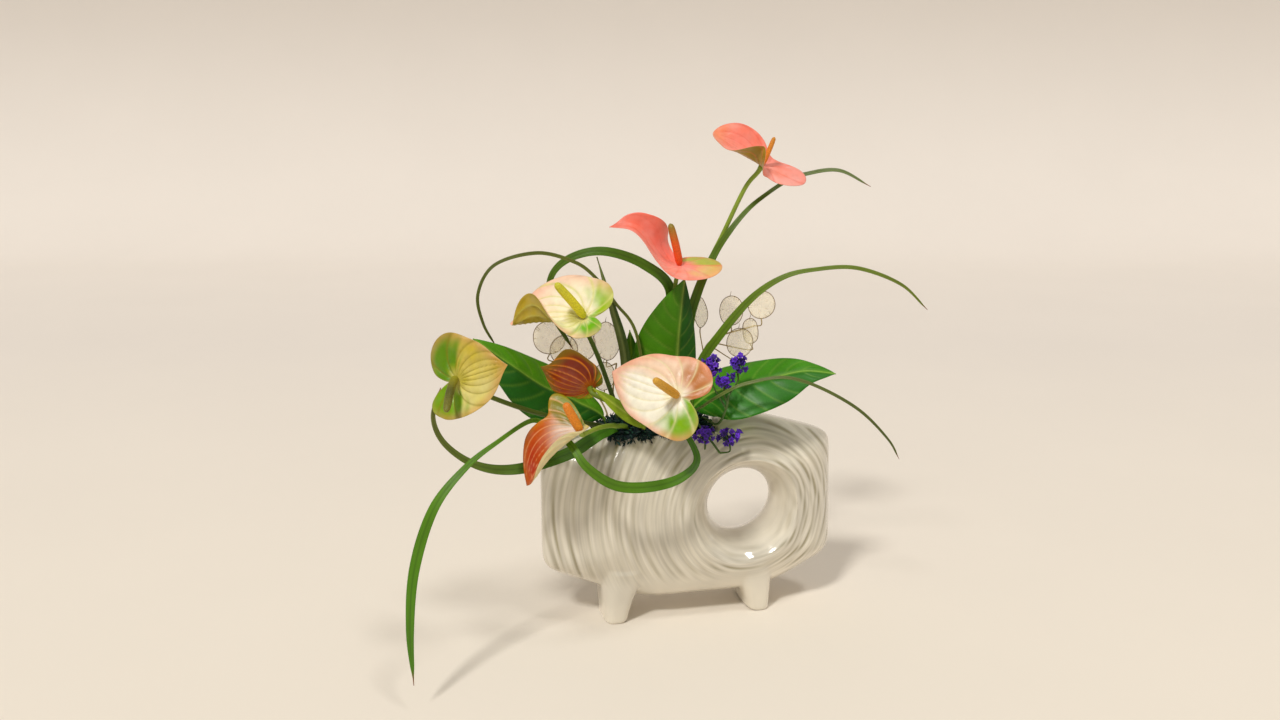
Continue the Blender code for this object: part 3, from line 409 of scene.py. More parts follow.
# ================================================================ helpers
def tone(code):
    """A hex colour in linear light."""
    part = np.array([int(code[i:i + 2], 16) for i in (0, 2, 4)]) / 255.0
    return np.where(part <= 0.04045, part / 12.92, ((part + 0.055) / 1.055) ** 2.4)


def unit(vector):
    """The vector, or every vector along the last axis, at length 1."""
    vector = np.asarray(vector, float)
    return vector / np.linalg.norm(vector, axis=-1, keepdims=True)


def circle(count):
    """Angles of even steps round a circle."""
    return np.arange(count) * 2 * pi / count


def ramp(value, start, end):
    """A smooth step from 0 at start to 1 at end."""
    t = np.clip((np.asarray(value, float) - start) / (end - start), 0.0, 1.0)
    return t * t * (3 - 2 * t)


def mix(a, b, share):
    share = np.asarray(share, float)[..., None]
    return a * (1 - share) + b * share


def along_tones(codes, steps):
    """Colours that run evenly through the listed ones."""
    tones = np.array([tone(code) for code in codes])
    places = np.linspace(0, 1, len(tones))
    return np.stack([np.interp(steps, places, tones[:, k]) for k in range(3)], axis=-1)


def smooth_route(points, count):
    """Even steps along a Catmull-Rom curve through the points."""
    pts = np.asarray(points, float)
    ends = np.vstack([2 * pts[0] - pts[1], pts, 2 * pts[-1] - pts[-2]])
    dense = []
    for i in range(len(pts) - 1):
        a, b, c, d = ends[i:i + 4]
        for t in np.linspace(0, 1, 24, endpoint=False):
            dense.append(0.5 * (2 * b + (c - a) * t + (2 * a - 5 * b + 4 * c - d) * t ** 2
                                + (3 * b - a - 3 * c + d) * t ** 3))
    dense.append(pts[-1])
    dense = np.array(dense)
    along = np.r_[0, np.cumsum(np.linalg.norm(np.diff(dense, axis=0), axis=1))]
    even = np.linspace(0, along[-1], count)
    return np.stack([np.interp(even, along, dense[:, k]) for k in range(3)], axis=1)


def route_length(route):
    return float(np.linalg.norm(np.diff(route, axis=0), axis=1).sum())


def frames(route, face):
    """Side and normal directions along a route, the normal kept as near to face as it can be."""
    along = unit(np.gradient(route, axis=0))
    side = unit(np.cross(along, np.broadcast_to(np.asarray(face, float), route.shape)))
    return side, np.cross(side, along)


class Skin:
    """Points, faces, colours, flow coordinates and material slots gathered for one object."""

    def __init__(self):
        self.points, self.faces, self.tints, self.flows, self.slots = [], [], [], [], []
        self.count = 0

    def rings(self, rings, tint, flow=None, slot=0):
        """Closed rings of points joined end to end and capped. tint is one colour, or one for each ring or point."""
        rings = np.asarray(rings, float)
        steps, around = rings.shape[:2]
        first, last = self.count, self.count + (steps - 1) * around
        faces = [tuple(range(first, first + around))[::-1]]
        for i in range(first, last, around):
            for j in range(around):
                k = (j + 1) % around
                faces.append((i + j, i + k, i + around + k, i + around + j))
        faces.append(tuple(range(last, last + around)))
        tint = np.asarray(tint, float)
        if tint.shape == (steps, 3):
            tint = tint[:, None]
        self.points.append(rings.reshape(-1, 3))
        self.tints.append(np.broadcast_to(tint, rings.shape).reshape(-1, 3))
        self.flows.append((np.zeros(rings.shape) if flow is None else flow).reshape(-1, 3))
        self.faces += faces
        self.slots += [slot] * len(faces)
        self.count += steps * around

    def tube(self, route, radii, sides, tint, slot=0):
        radii = np.interp(np.linspace(0, 1, len(route)), np.linspace(0, 1, len(radii)), radii)
        side, normal = frames(route, TUBE_FACE)
        turn = circle(sides)
        offset = np.cos(turn)[None, :, None] * side[:, None] + np.sin(turn)[None, :, None] * normal[:, None]
        rings = route[:, None] + radii[:, None, None] * offset
        flow = np.zeros(rings.shape)
        flow[..., 0] = np.cos(turn) * radii.max()
        flow[..., 1] = np.linspace(0, route_length(route), len(route))[:, None]
        flow[..., 2] = np.sin(turn) * radii.max()
        self.rings(rings, tint, flow, slot)

    def sheet(self, top, under, top_tint, under_tint, flow):
        """Two equal grids joined round their edge."""
        pairs = ((top, under), (top_tint, under_tint), (flow, flow))
        self.rings(*(np.concatenate([upper, lower[:, ::-1]], axis=1) for upper, lower in pairs))

    def disc(self, top, under, top_tint, under_tint, flow=None):
        """Two equal sets of rings, from the middle out, joined round the outermost."""
        both = None if flow is None else np.concatenate([flow, flow[::-1]])
        self.rings(np.concatenate([top, under[::-1]]), np.concatenate([top_tint, under_tint[::-1]]), both)


def dress(obj, node_names):
    """Puts a finished piece in the object: it rides on the root and stands for its CAD nodes."""
    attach(obj, "root")
    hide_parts(*node_names)


def placed(name, data):
    """A new object in the scene."""
    obj = bpy.data.objects.new(name, data)
    bpy.context.scene.collection.objects.link(obj)
    return obj


def turn_out(mesh, split_caps=False):
    """Turns all faces outward; split_caps first divides those with more than four corners."""
    bm = bmesh.new()
    bm.from_mesh(mesh)
    if split_caps:
        bmesh.ops.triangulate(bm, faces=[f for f in bm.faces if len(f.verts) > 4])
    bmesh.ops.recalc_face_normals(bm, faces=bm.faces)
    bm.to_mesh(mesh)
    bm.free()


def smooth(mesh):
    mesh.polygons.foreach_set("use_smooth", [True] * len(mesh.polygons))


def mark(mesh, name, kind, values):
    """A named value on every point of the mesh, for its material to read."""
    mesh.attributes.new(name, kind, "POINT").data.foreach_set(ATTRIBUTE_KEYS[kind], np.ravel(values))


def show(name, shell, materials, node_names):
    """One object from gathered points, which are millimetres about the vase's middle."""
    points = np.vstack(shell.points) * MM + SHIFT
    mesh = bpy.data.meshes.new(name)
    mesh.from_pydata([tuple(p) for p in points], [], shell.faces)
    mark(mesh, "tint", "FLOAT_COLOR", np.c_[np.vstack(shell.tints), np.ones(len(points))])
    mark(mesh, "flow", "FLOAT_VECTOR", np.vstack(shell.flows))
    for mat in materials:
        mesh.materials.append(mat)
    mesh.polygons.foreach_set("material_index", shell.slots)
    smooth(mesh)
    turn_out(mesh)
    dress(placed(name, mesh), node_names)


# ================================================================ materials
class Finish:
    """A Principled material and short calls for the nodes around it."""

    def __init__(self, name, roughness, **sockets):
        self.mat = bpy.data.materials.new(name)
        self.mat.use_nodes = True
        self.nodes = self.mat.node_tree.nodes
        self.links = self.mat.node_tree.links
        self.shader = self.nodes["Principled BSDF"]
        self.shader.inputs["Roughness"].default_value = roughness
        for socket, value in sockets.items():
            self.shader.inputs[socket.replace("_", " ")].default_value = value

    def node(self, kind, **settings):
        made = self.nodes.new(kind)
        for name, value in settings.items():
            if name in made.inputs:
                made.inputs[name].default_value = value
            else:
                setattr(made, name, value)
        return made

    def link(self, source, target):
        self.links.new(source, target)

    def attribute(self, name, output="Vector"):
        return self.node("ShaderNodeAttribute", attribute_name=name).outputs[output]

    def place(self):
        return self.node("ShaderNodeTexCoord").outputs["Object"]

    def noise(self, place, scale, detail=3.0, stretch=None):
        """Noise over a place, stretched by a factor for each axis."""
        if stretch is not None:
            mapping = self.node("ShaderNodeMapping", Scale=stretch)
            self.link(place, mapping.inputs["Vector"])
            place = mapping.outputs["Vector"]
        made = self.node("ShaderNodeTexNoise", Scale=scale, Detail=detail)
        self.link(place, made.inputs["Vector"])
        return made.outputs["Fac"]

    def masked(self, value, mask):
        """The value where the mask is 1, and an even one where it is 0."""
        made = self.node("ShaderNodeMix", data_type="FLOAT")
        made.inputs[2].default_value = UNMARKED
        self.link(mask, made.inputs[0])
        self.link(value, made.inputs[3])
        return made.outputs[0]

    def span(self, value, low, high, from_low=0.3, from_high=0.7):
        made = self.node("ShaderNodeMapRange")
        for socket, number in (("From Min", from_low), ("From Max", from_high), ("To Min", low), ("To Max", high)):
            made.inputs[socket].default_value = number
        self.link(value, made.inputs["Value"])
        return made.outputs["Result"]

    def shade(self, colour, *values, saturation=None):
        """The colour with its brightness, and its saturation if given, driven by nodes."""
        for value in values:
            made = self.node("ShaderNodeHueSaturation")
            self.link(value, made.inputs["Value"])
            self.link(colour, made.inputs["Color"])
            colour = made.outputs["Color"]
        if saturation is not None:
            self.link(saturation, made.inputs["Saturation"])
        return colour

    def tinted(self, *values, saturation=None):
        return self.shade(self.attribute("tint", "Color"), *values, saturation=saturation)

    def blend(self, factor, a, b):
        made = self.node("ShaderNodeMix", data_type="RGBA")
        self.link(factor, made.inputs[0])
        for socket, colour in ((made.inputs[6], a), (made.inputs[7], b)):
            if isinstance(colour, str):
                socket.default_value = (*tone(colour), 1.0)
            else:
                self.link(colour, socket)
        return made.outputs[2]

    def bump(self, height, distance, strength=1.0, under=None):
        made = self.node("ShaderNodeBump", Distance=distance, Strength=strength)
        self.link(height, made.inputs["Height"])
        if under is not None:
            self.link(under, made.inputs["Normal"])
        return made.outputs["Normal"]

    def done(self, colour, roughness=None, normal=None):
        """Joins the shader to what drives it, and gives the material."""
        for source, socket in ((colour, "Base Color"), (roughness, "Roughness"), (normal, "Normal")):
            if source is not None:
                self.link(source, self.shader.inputs[socket])
        return self.mat


def petal_finish(name):
    """Waxy petal: fine mottling, satin gloss and faint cell grain."""
    fin = Finish(name, 0.36, Coat_Weight=0.04, Coat_Roughness=0.2, Specular_IOR_Level=0.3)
    place = fin.place()
    mottle = fin.noise(place, 160.0, 4.0)
    cells = fin.noise(place, 900.0, 2.0)
    vivid = fin.span(fin.noise(place, 70.0), 0.93, 1.08)
    return fin.done(fin.tinted(fin.span(mottle, 0.93, 1.06), saturation=vivid), fin.span(mottle, 0.28, 0.42),
                    fin.bump(cells, 0.0003, 0.5, fin.bump(mottle, 0.0008, 0.35)))


def spadix_finish():
    """Close-set tiny florets over a matt rod."""
    fin = Finish("spadix_florets", 0.5)
    place = fin.place()
    florets = fin.node("ShaderNodeTexVoronoi", Scale=850.0)
    fin.link(place, florets.inputs["Vector"])
    gaps = florets.outputs["Distance"]
    # lighter on each floret and darker in the gaps between them: painted shade between the florets
    return fin.done(fin.tinted(fin.span(gaps, 1.10, 0.80, 0.1, 0.8)), fin.span(fin.noise(place, 300.0), 0.42, 0.6),
                    fin.bump(fin.span(gaps, 1.0, 0.0, 0.0, 0.8), 0.0005, 0.7))


def stem_finish(name, roughness):
    """A stem with faint lengthwise fibres."""
    fin = Finish(name, roughness, Specular_IOR_Level=0.3)
    fibres = fin.noise(fin.attribute("flow"), 1.0, 3.0, (2.2, 0.05, 2.2))
    blotches = fin.noise(fin.place(), 60.0, 4.0)
    return fin.done(fin.tinted(fin.span(fibres, 0.88, 1.10), fin.span(blotches, 0.9, 1.08)),
                    fin.span(fibres, roughness - 0.06, roughness + 0.08), fin.bump(fibres, 0.0004, 0.5))


def leaf_finish():
    """Glossy leathery leaf with fine net veins."""
    fin = Finish("leaf_blade", 0.42, Coat_Weight=0.03, Coat_Roughness=0.2, Specular_IOR_Level=0.22)
    net = fin.node("ShaderNodeTexVoronoi", Scale=0.55, feature="DISTANCE_TO_EDGE")
    fin.link(fin.attribute("flow"), net.inputs["Vector"])
    cells = net.outputs["Distance"]
    blotches = fin.noise(fin.place(), 45.0, 4.0)
    return fin.done(fin.tinted(fin.span(cells, 1.12, 0.98, 0.0, 0.12), fin.span(blotches, 0.84, 1.14)),
                    fin.span(blotches, 0.34, 0.5),
                    fin.bump(cells, 0.0004, 0.30, fin.bump(blotches, 0.0015, 0.35)))


def strap_finish():
    """Satin grass blade with close lengthwise stripes."""
    fin = Finish("lily_grass", 0.4, Specular_IOR_Level=0.3)
    flow = fin.attribute("flow")
    stripes = fin.noise(flow, 1.0, 2.0, (2.6, 0.012, 0.0))
    threads = fin.noise(flow, 1.0, 2.0, (7.0, 0.03, 0.0))
    blotches = fin.noise(fin.place(), 35.0, 3.0)
    return fin.done(fin.tinted(fin.span(stripes, 0.80, 1.16), fin.span(blotches, 0.9, 1.1)),
                    fin.span(threads, 0.3, 0.44),
                    fin.bump(threads, 0.0002, 0.45, fin.bump(stripes, 0.0005, 0.5)))


def membrane_finish():
    """Silvery see-through pod skin with silky fibres that run out from its middle."""
    fin = Finish("lunaria_membrane", 0.32, Alpha=0.27, Sheen_Weight=0.3)
    silk = fin.noise(fin.attribute("flow"), 1.0, 4.0, (9.0, 0.25, 1.0))
    stains = fin.noise(fin.place(), 130.0, 4.0)
    return fin.done(fin.tinted(fin.span(silk, 0.98, 1.14), fin.span(stains, 0.95, 1.12)),
                    fin.span(silk, 0.25, 0.42),
                    fin.bump(silk, 0.0003, 0.5, fin.bump(stains, 0.0015, 0.4)))


def rough_finish(name, grain, low, high):
    """A dry, matt growth: tinted, speckled and uneven."""
    fin = Finish(name, 0.7)
    speckle = fin.noise(fin.place(), grain, 4.0)
    return fin.done(fin.tinted(fin.span(speckle, low, high)), fin.span(speckle, 0.6, 0.8),
                    fin.bump(speckle, 0.0008, 0.6))


def foam_finish():
    """Crumbly wet floral foam."""
    fin = Finish("foam_cells", 0.9)
    place = fin.place()
    cells = fin.noise(place, 1400.0, 2.0)
    stains = fin.noise(place, 60.0, 3.0)
    return fin.done(fin.blend(fin.span(stains, 0.0, 1.0), *FOAM_TONES), fin.span(cells, 0.8, 1.0),
                    fin.bump(cells, 0.0006, 0.8))


def glaze_finish():
    """Ivory glaze over combed clay: it thins on the ridges and pools grey-olive in the grooves, where painted shade
    darkens it too.
    """
    fin = Finish("ivory_glaze", 0.16, Coat_Weight=0.6, Coat_Roughness=0.06, Specular_IOR_Level=0.5)
    swirl = fin.attribute("flow")
    combed = fin.attribute("comb", "Fac")
    comb = fin.masked(fin.noise(swirl, 1.0, 3.0, (0.36, 1.3, 1.3)), combed)
    hairs = fin.masked(fin.noise(swirl, 1.0, 2.0, (1.0, 2.2, 2.2)), combed)
    # broad random light and dark patches: painted soft highlights and painted shade on the glaze; the same noise
    # varies its roughness
    sheen_and_shade_patches = fin.noise(fin.place(), 15.0, 2.0)
    # grey-olive with groove depth: pooled glaze and painted shade in the grooves
    base = fin.blend(fin.attribute("groove", "Fac"), *GLAZE_POOL_AND_SHADE_TONES)
    return fin.done(fin.shade(base, fin.span(comb, 0.88, 1.05, 0.38, 0.62), fin.span(sheen_and_shade_patches, 0.84, 1.08)),
                    fin.span(sheen_and_shade_patches, 0.12, 0.22), fin.bump(hairs, 0.0004, 0.25, fin.bump(comb, 0.0012, 0.30)))


# ================================================================ vase
def body_gauge(x, z):
    """How far a point lies from the body's centre, as a share of the way to its outline."""
    dx = x - BODY_CENTRE[0]
    dz = z - BODY_CENTRE[1]
    total = 0.0
    for (nx, nz), reach in BODY_SIDES:
        total = total + np.maximum((nx * dx + nz * dz) / reach, 0.0) ** CORNER_POWER
    return total ** (1.0 / CORNER_POWER)


def body_depth(x, z):
    inside = np.clip(1.0 - body_gauge(x, z) ** DOME_POWER, 0.0, 1.0)
    return BODY_EDGE + (BODY_HALF_DEPTH - BODY_EDGE) * inside ** DOME_FULLNESS


def body_shell(around=220, rings=44):
    """The solid body as rings from the middle of its back, round its edge, to the middle of its front."""
    turn = circle(around)
    reach = 1.0 / body_gauge(BODY_CENTRE[0] + np.cos(turn), BODY_CENTRE[1] + np.sin(turn))
    shares = 1 - (1 - np.arange(rings + 1) / rings) ** 1.8
    shares[0] = 0.004
    layers = []
    for face, run in ((1, shares), (-1, shares[::-1])):
        for share in run:
            x = BODY_CENTRE[0] + share * reach * np.cos(turn)
            z = BODY_CENTRE[1] + share * reach * np.sin(turn)
            layers.append(np.stack([x, face * body_depth(x, z), z], axis=-1))
    return np.array(layers)


def rounded_ring(x0, x1, y, z, sides=48, power=3.2):
    turn = circle(sides)
    c, s = np.cos(turn), np.sin(turn)
    cx, rx = (x0 + x1) / 2, (x1 - x0) / 2
    return np.stack([cx + rx * np.sign(c) * np.abs(c) ** (2 / power),
                     y * np.sign(s) * np.abs(s) ** (2 / power), np.full(sides, z)], axis=-1)


def foot_rings(x, outward):
    """A foot that runs front to back, upright outside and slanted inside."""
    rings = []
    for share in (0.0, 0.02, 0.06, 0.2, 0.4, 0.55, 0.7, 0.8, 0.88, 0.94, 1.0):
        swell = share ** 1.4
        toe = 1.2 * (1 - min(share / 0.06, 1.0)) ** 2
        wide = FOOT_BOTTOM[0] + (FOOT_TOP[0] - FOOT_BOTTOM[0]) * swell - toe
        deep = FOOT_BOTTOM[1] + (FOOT_TOP[1] - FOOT_BOTTOM[1]) * share - toe
        centre = x + outward * (FOOT_BOTTOM[0] + FOOT_OUTER_LEAN * share - wide)
        wide, deep = wide + FOOT_FILLET * share ** 7, deep + FOOT_FILLET * share ** 7
        rings.append(rounded_ring(centre - wide, centre + wide, deep, share * FOOT_TOP_Z))
    return rings


def hole_rings(steps=16, sides=96):
    turn = circle(sides)
    rings = []
    for y in np.linspace(-60, 60, 2 * steps + 1):
        radius = HOLE_THROAT + HOLE_FLARE * min(abs(y) / BODY_HALF_DEPTH, 1.3) ** 1.9
        rings.append(np.stack([HOLE_CENTRE[0] + radius * np.cos(turn), np.full(sides, y),
                               HOLE_CENTRE[1] + radius * np.sin(turn)], axis=-1))
    return rings


def well_rings():
    rings = []
    for z in (WELL_FLOOR, MOUTH_Z + 20):
        share = (z - WELL_FLOOR) / (MOUTH_Z - WELL_FLOOR)
        x0 = WELL_FLOOR_X[0] + (MOUTH_X[0] + 4 - WELL_FLOOR_X[0]) * share
        x1 = WELL_FLOOR_X[1] + (MOUTH_X[1] - 1 - WELL_FLOOR_X[1]) * share
        rings.append(rounded_ring(x0, x1, WELL_HALF_DEPTH, z, power=4.0))
    return rings


def mouth_rings():
    return [[(x0, -70, z), (x1, -70, z), (x1, 70, z), (x0, 70, z)]
            for x0, x1, z in ((MOUTH_X[0] - 5, MOUTH_X[1] + 3, MOUTH_Z), (MOUTH_X[0] - 60, MOUTH_X[1] + 24, 240.0))]


def clay(name, rings):
    """A closed solid from rings, in metres in the frame, for shaping the vase."""
    shell = Skin()
    shell.rings(rings, (1, 1, 1))
    mesh = bpy.data.meshes.new(name)
    mesh.from_pydata([tuple(p) for p in np.vstack(shell.points) * MM + SHIFT], [], shell.faces)
    turn_out(mesh, split_caps=True)
    return placed(name, mesh)


def settle(obj):
    """Replaces the object's mesh by what its modifiers make of it."""
    made = bpy.data.meshes.new_from_object(obj.evaluated_get(bpy.context.evaluated_depsgraph_get()))
    obj.modifiers.clear()
    obj.data = made
    return obj


def vectors(items, key):
    """A vector of every item of a mesh."""
    found = np.empty(len(items) * 3)
    items.foreach_get(key, found)
    return found.reshape(-1, 3)


def shaped_vase():
    """Body and feet joined, hole, mouth and well cut, then blended over as thrown and carved clay."""
    vase = clay("vase_body", body_shell())
    tools = [(clay("left_foot", foot_rings(FOOT_X[0], -1)), "UNION"),
             (clay("right_foot", foot_rings(FOOT_X[1], 1)), "UNION"),
             (clay("hole_tool", hole_rings()), "DIFFERENCE"),
             (clay("mouth_tool", mouth_rings()), "DIFFERENCE"),
             (clay("well_tool", well_rings()), "DIFFERENCE")]
    for tool, operation in tools:
        mod = vase.modifiers.new(tool.name, "BOOLEAN")
        mod.operation = operation
        mod.solver = "EXACT"
        mod.object = tool
    settle(vase)
    for tool, _ in tools:
        bpy.data.objects.remove(tool, do_unlink=True)
    remesh = vase.modifiers.new("remesh", "REMESH")
    remesh.mode = "VOXEL"
    remesh.voxel_size = CLAY_GRAIN
    settle(vase)
    soften(vase, lambda p: np.ones(len(p)), 2)
    soften(vase, lambda p: ramp(p[:, 2], 0.024, 0.034) * (1 - ramp(p[:, 2], 0.060, 0.070)), 26)
    return vase


def soften(vase, weight, times):
    group = vase.vertex_groups.new(name="soft")
    for i, w in enumerate(weight(vectors(vase.data.vertices, "co"))):
        if w > 0.01:
            group.add([i], float(w), "REPLACE")
    mod = vase.modifiers.new("soften", "SMOOTH")
    mod.factor = 0.6
    mod.iterations = times
    mod.vertex_group = "soft"
    settle(vase)
    vase.vertex_groups.clear()


def comb_marks(radius, turn):
    """Depth of the irregular combed grooves, from 0 on a ridge to 1 in a groove, at a radius from the hole in mm."""
    marks = 0.0
    for length, weight, wander, lobes, start in COMBS:
        drift = wander * np.sin(lobes * turn + start) + 0.6 * wander * np.sin((lobes + 2) * turn - 1.7 * start)
        marks = marks + weight * np.sin(2 * pi * (radius + drift) / length + start)
    patch = 0.6 + 0.6 * np.sin(radius / 19.0 + 2 * turn) * np.sin(3 * turn + radius / 27.0 + 1.0)
    return np.clip(0.40 + 0.55 * marks * patch, 0.0, 1.0)


def dents(radius, turn):
    """The broad soft hollows left by the carving, as a share from 0 to 1."""
    drift = 7.0 * np.sin(2 * turn + 0.7) + 4.0 * np.sin(5 * turn + radius / 40.0)
    return 0.5 + 0.5 * np.sin(2 * pi * (radius + drift) / 27.0) * np.sin(3 * turn + radius / 21.0)


def build_vase():
    vase = shaped_vase()
    vase.name = "vase_glazed"
    points = vectors(vase.data.vertices, "co")
    normals = vectors(vase.data.vertex_normals, "vector")
    local = (points - SHIFT) / MM
    dx, dz = local[:, 0] - HOLE_CENTRE[0], local[:, 2] - HOLE_CENTRE[1]
    radius, turn = np.hypot(dx, dz), np.arctan2(dz, dx)
    outside = ramp(np.abs(local[:, 1]), 5.0, 12.0) * ramp(np.abs(normals[:, 1]), 0.12, 0.45)
    outside *= (normals[:, 1] * local[:, 1] > 0)
    combed = outside * ramp(local[:, 2], 32.0, 56.0) * (0.35 + 0.65 * ramp(radius, 38.0, 58.0))
    depth = comb_marks(radius, turn) * combed
    sunk = depth * GROOVE_DEPTH + dents(radius, turn) * DENT_DEPTH * combed
    points -= normals * (sunk * MM)[:, None]
    vase.data.vertices.foreach_set("co", points.ravel())
    # groove depth, which the glaze colours darker: pooled glaze and painted shade
    mark(vase.data, "groove", "FLOAT", depth ** 1.6 * 0.8)
    mark(vase.data, "comb", "FLOAT", combed)
    mark(vase.data, "flow", "FLOAT_VECTOR", np.stack([radius, np.cos(turn), np.sin(turn)], axis=-1))
    vase.data.materials.clear()
    vase.data.materials.append(glaze_finish())
    smooth(vase.data)
    dress(vase, ["vase"])


# ================================================================ flowers
def heart_reach(angle, reach, point):
    """Outline radius at angles from the tip, through the listed radii, with a sharp point."""
    count = len(reach)
    place = (angle / (2 * pi) * count + count / 2) % count
    i = np.floor(place).astype(int)
    t = place - i
    held = np.array(reach, float)
    held[count // 2] -= point
    a, b, c, d = (held[(i + k) % count] for k in (-1, 0, 1, 2))
    base = 0.5 * (2 * b + (c - a) * t + (2 * a - 5 * b + 4 * c - d) * t * t + (3 * b - a - 3 * c + d) * t ** 3)
    turn = np.abs((angle + pi) % (2 * pi) - pi)
    return base + point * np.exp(-turn / radians(9))


def bend(distance, degrees, knee):
    """Reach and rise of runs that curve through their angles up to the knee and are straight beyond it."""
    angle = np.radians(degrees)
    angle = np.where(np.abs(angle) < 1e-5, 1e-5, angle)
    curved = np.minimum(distance, knee)
    turned = angle * curved / knee
    radius = knee / angle
    beyond = distance - curved
    return radius * np.sin(turned) + beyond * np.cos(turned), radius * (1 - np.cos(turned)) + beyond * np.sin(turned)


def midline(spec, x, length):
    """Reach, height and slope of a spathe's midline, x in front of the joint or behind it."""
    along, lift = bend(np.abs(x), np.array(spec["roll"])[(x <= 0).astype(int)], ROLL_KNEE)
    slope = np.zeros(x.shape)
    if "slopes" in spec:
        steps = np.linspace(0, 1, 200)
        turned = np.radians(np.interp(steps, np.linspace(0, 1, len(spec["slopes"])), spec["slopes"]))
        reached = np.cumsum(np.cos(turned)) * length / len(steps)
        risen = np.cumsum(np.sin(turned)) * length / len(steps)
        share = x / length
        along = np.where(x > 0, np.interp(share, steps, reached), along)
        lift = np.where(x > 0, np.interp(share, steps, risen), lift)
        slope = np.where(x > 0, np.interp(share, steps, turned), slope)
    return along * np.sign(x), lift, slope


def spathe_axes(spec):
    face = unit(spec["face"])
    tip = np.asarray(spec["tip"], float)
    tip = unit(tip - face * (tip @ face))
    return np.array([tip, np.cross(face, tip), face])


def veins(x, y, length, count):
    """How strongly a point of the flat spathe lies on a main vein, 0 to 1, and how high it swells between them.

    The main veins are arcs that leave the joint, loop through the lobes and meet again at the tip."""
    to_base = np.hypot(x, y) + 1e-6
    to_tip = np.hypot(length - x, y) + 1e-6
    angle = np.arccos(np.clip((x * (x - length) + y * y) / (to_base * to_tip), -1, 1))
    lane = count * (1 - angle / pi) ** 0.9
    offset = np.abs(lane - np.round(lane))
    line = np.exp(-(offset / 0.075) ** 2)
    run = np.log(to_base / to_tip)
    ribs = np.abs(np.sin(3.4 * run + 2.1 * np.round(lane + 0.5) + 0.8 * np.sin(5 * run)))
    fade = ramp(to_base, 2.0, 12.0) * ramp(to_tip, 2.0, 14.0)
    swell = np.abs(np.sin(pi * lane)) ** 0.6 * (0.72 + 0.28 * ribs ** 0.5) * fade
    return line * fade, swell


def spathe_tint(look, x, y, angle, share, length, line):
    """Colour of the spathe's face at points of the flat outline."""
    turn = np.degrees(np.abs((angle + pi) % (2 * pi) - pi))
    left = ramp(y, -3.0, 3.0)
    halves = mix(tone(look["halves"][0]), tone(look["halves"][1]), left)
    tint = mix(tone(look["body"]), halves, ramp(np.abs(y), 2, 14))
    colour, reach, weight = look["throat"]
    from_throat = np.hypot(x - 0.3 * reach, y)
    tint = mix(tint, tone(colour), weight * (1 - ramp(from_throat, 0.4 * reach, reach)))
    wobble = 7 * np.sin(9 * share + 4 * np.sin(angle * 5))
    for (colour, start, end, inner), here in ((look["lobes"][0], 1 - left), (look["lobes"][1], left)):
        weight = ramp(turn + wobble, start, end) * ramp(share + 0.03 * wobble / 7, inner, inner + 0.45) * here
        tint = mix(tint, tone(colour), weight)
    colour, start, weight = look["tip"]
    tint = mix(tint, tone(colour), weight * ramp(x / length + 0.02 * wobble / 7, start - 0.15, 1.0))
    colour, start, weight = look["rim"]
    tint = mix(tint, tone(colour), weight * ramp(share, start - 0.12, 1.0) * (1 - 0.6 * ramp(turn, 110, 150)))
    colour, weight = look["vein"]
    return mix(tint, tone(colour), weight * line)


def build_spathe(name, spec, look, around=216, rings=46):
    axes = spathe_axes(spec)
    origin = np.asarray(spec["at"], float)
    length = spec["reach"][len(spec["reach"]) // 2]
    angle = np.linspace(-pi, pi, around, endpoint=False)[None, :]
    share = np.r_[0.004, np.linspace(0.03, 1.0, rings - 1)][:, None]
    radius = heart_reach(angle, spec["reach"], spec.get("point", TIP_POINT)) * share
    x, y = radius * np.cos(angle), radius * np.sin(angle)
    side = (y >= 0).astype(int)
    front, rear = ramp(x / length, 0.0, 0.75), ramp(-x, -8.0, 8.0)
    fold = np.array(spec["cup"])[side] + np.array(spec["tip_cup"])[side] * front
    fold = fold + np.array(spec.get("back_cup", (0, 0)))[side] * rear
    across, height = bend(np.abs(y), fold, spec.get("knee", CUP_KNEE))
    along, lift, slope = midline(spec, x, length)
    line, swell = veins(x, y, length, look.get("vein_count", VEIN_COUNT))
    calm = 1 - ramp(share, 0.93, 1.0)
    relief = look["relief"] * (swell - 0.5) * calm
    height = height + 0.9 * share ** 3 * np.sin(4 * angle + spec["at"][0])
    local = np.stack([along - height * np.sin(slope), across * np.sign(y), lift + height * np.cos(slope)], axis=-1)
    middle = origin + local @ axes
    du = np.roll(middle, -1, axis=1) - np.roll(middle, 1, axis=1)
    normal = unit(np.cross(np.gradient(middle, axis=0), du))
    normal[0] = normal[1].mean(axis=0)
    thick = SPATHE_THICK * (0.75 - 0.45 * ramp(share, 0.85, 1.0))[..., None]
    top = middle + relief[..., None] * normal
    under = top - thick * normal
    tint = spathe_tint(look, x, y, angle, share, length, line)
    back = mix(tint, tone(look["back"]), look.get("back_weight", BACK_WEIGHT))
    back = mix(back, tone(look["vein"][0]), 0.35 * line)
    shell = Skin()
    shell.disc(top, under, tint, back)
    show(name + "_petal", shell, [petal_finish(name + "_petal")], [name + "_spathe"])


def build_spadix(name, spec, tints, finish):
    direction, length, radius = spec["spadix"]
    face = unit(spec["face"])
    start = np.asarray(spec["at"], float) + face * 0.2
    direction = unit(direction)
    route = smooth_route([start, start + face * 3.5, start + face * 5.0 + direction * length * 0.4,
                          start + face * 3.5 + direction * length], 48)
    steps = np.linspace(0, 1, len(route))
    swell = np.interp(steps, (0, 0.06, 0.14, 0.5, 0.8, 0.92, 0.97, 1), (0.62, 0.86, 0.97, 1, 0.93, 0.82, 0.62, 0.18))
    shell = Skin()
    shell.tube(route, radius * swell, 28, along_tones(tints, steps))
    show(name + "_rod", shell, [finish], [name + "_spadix"])


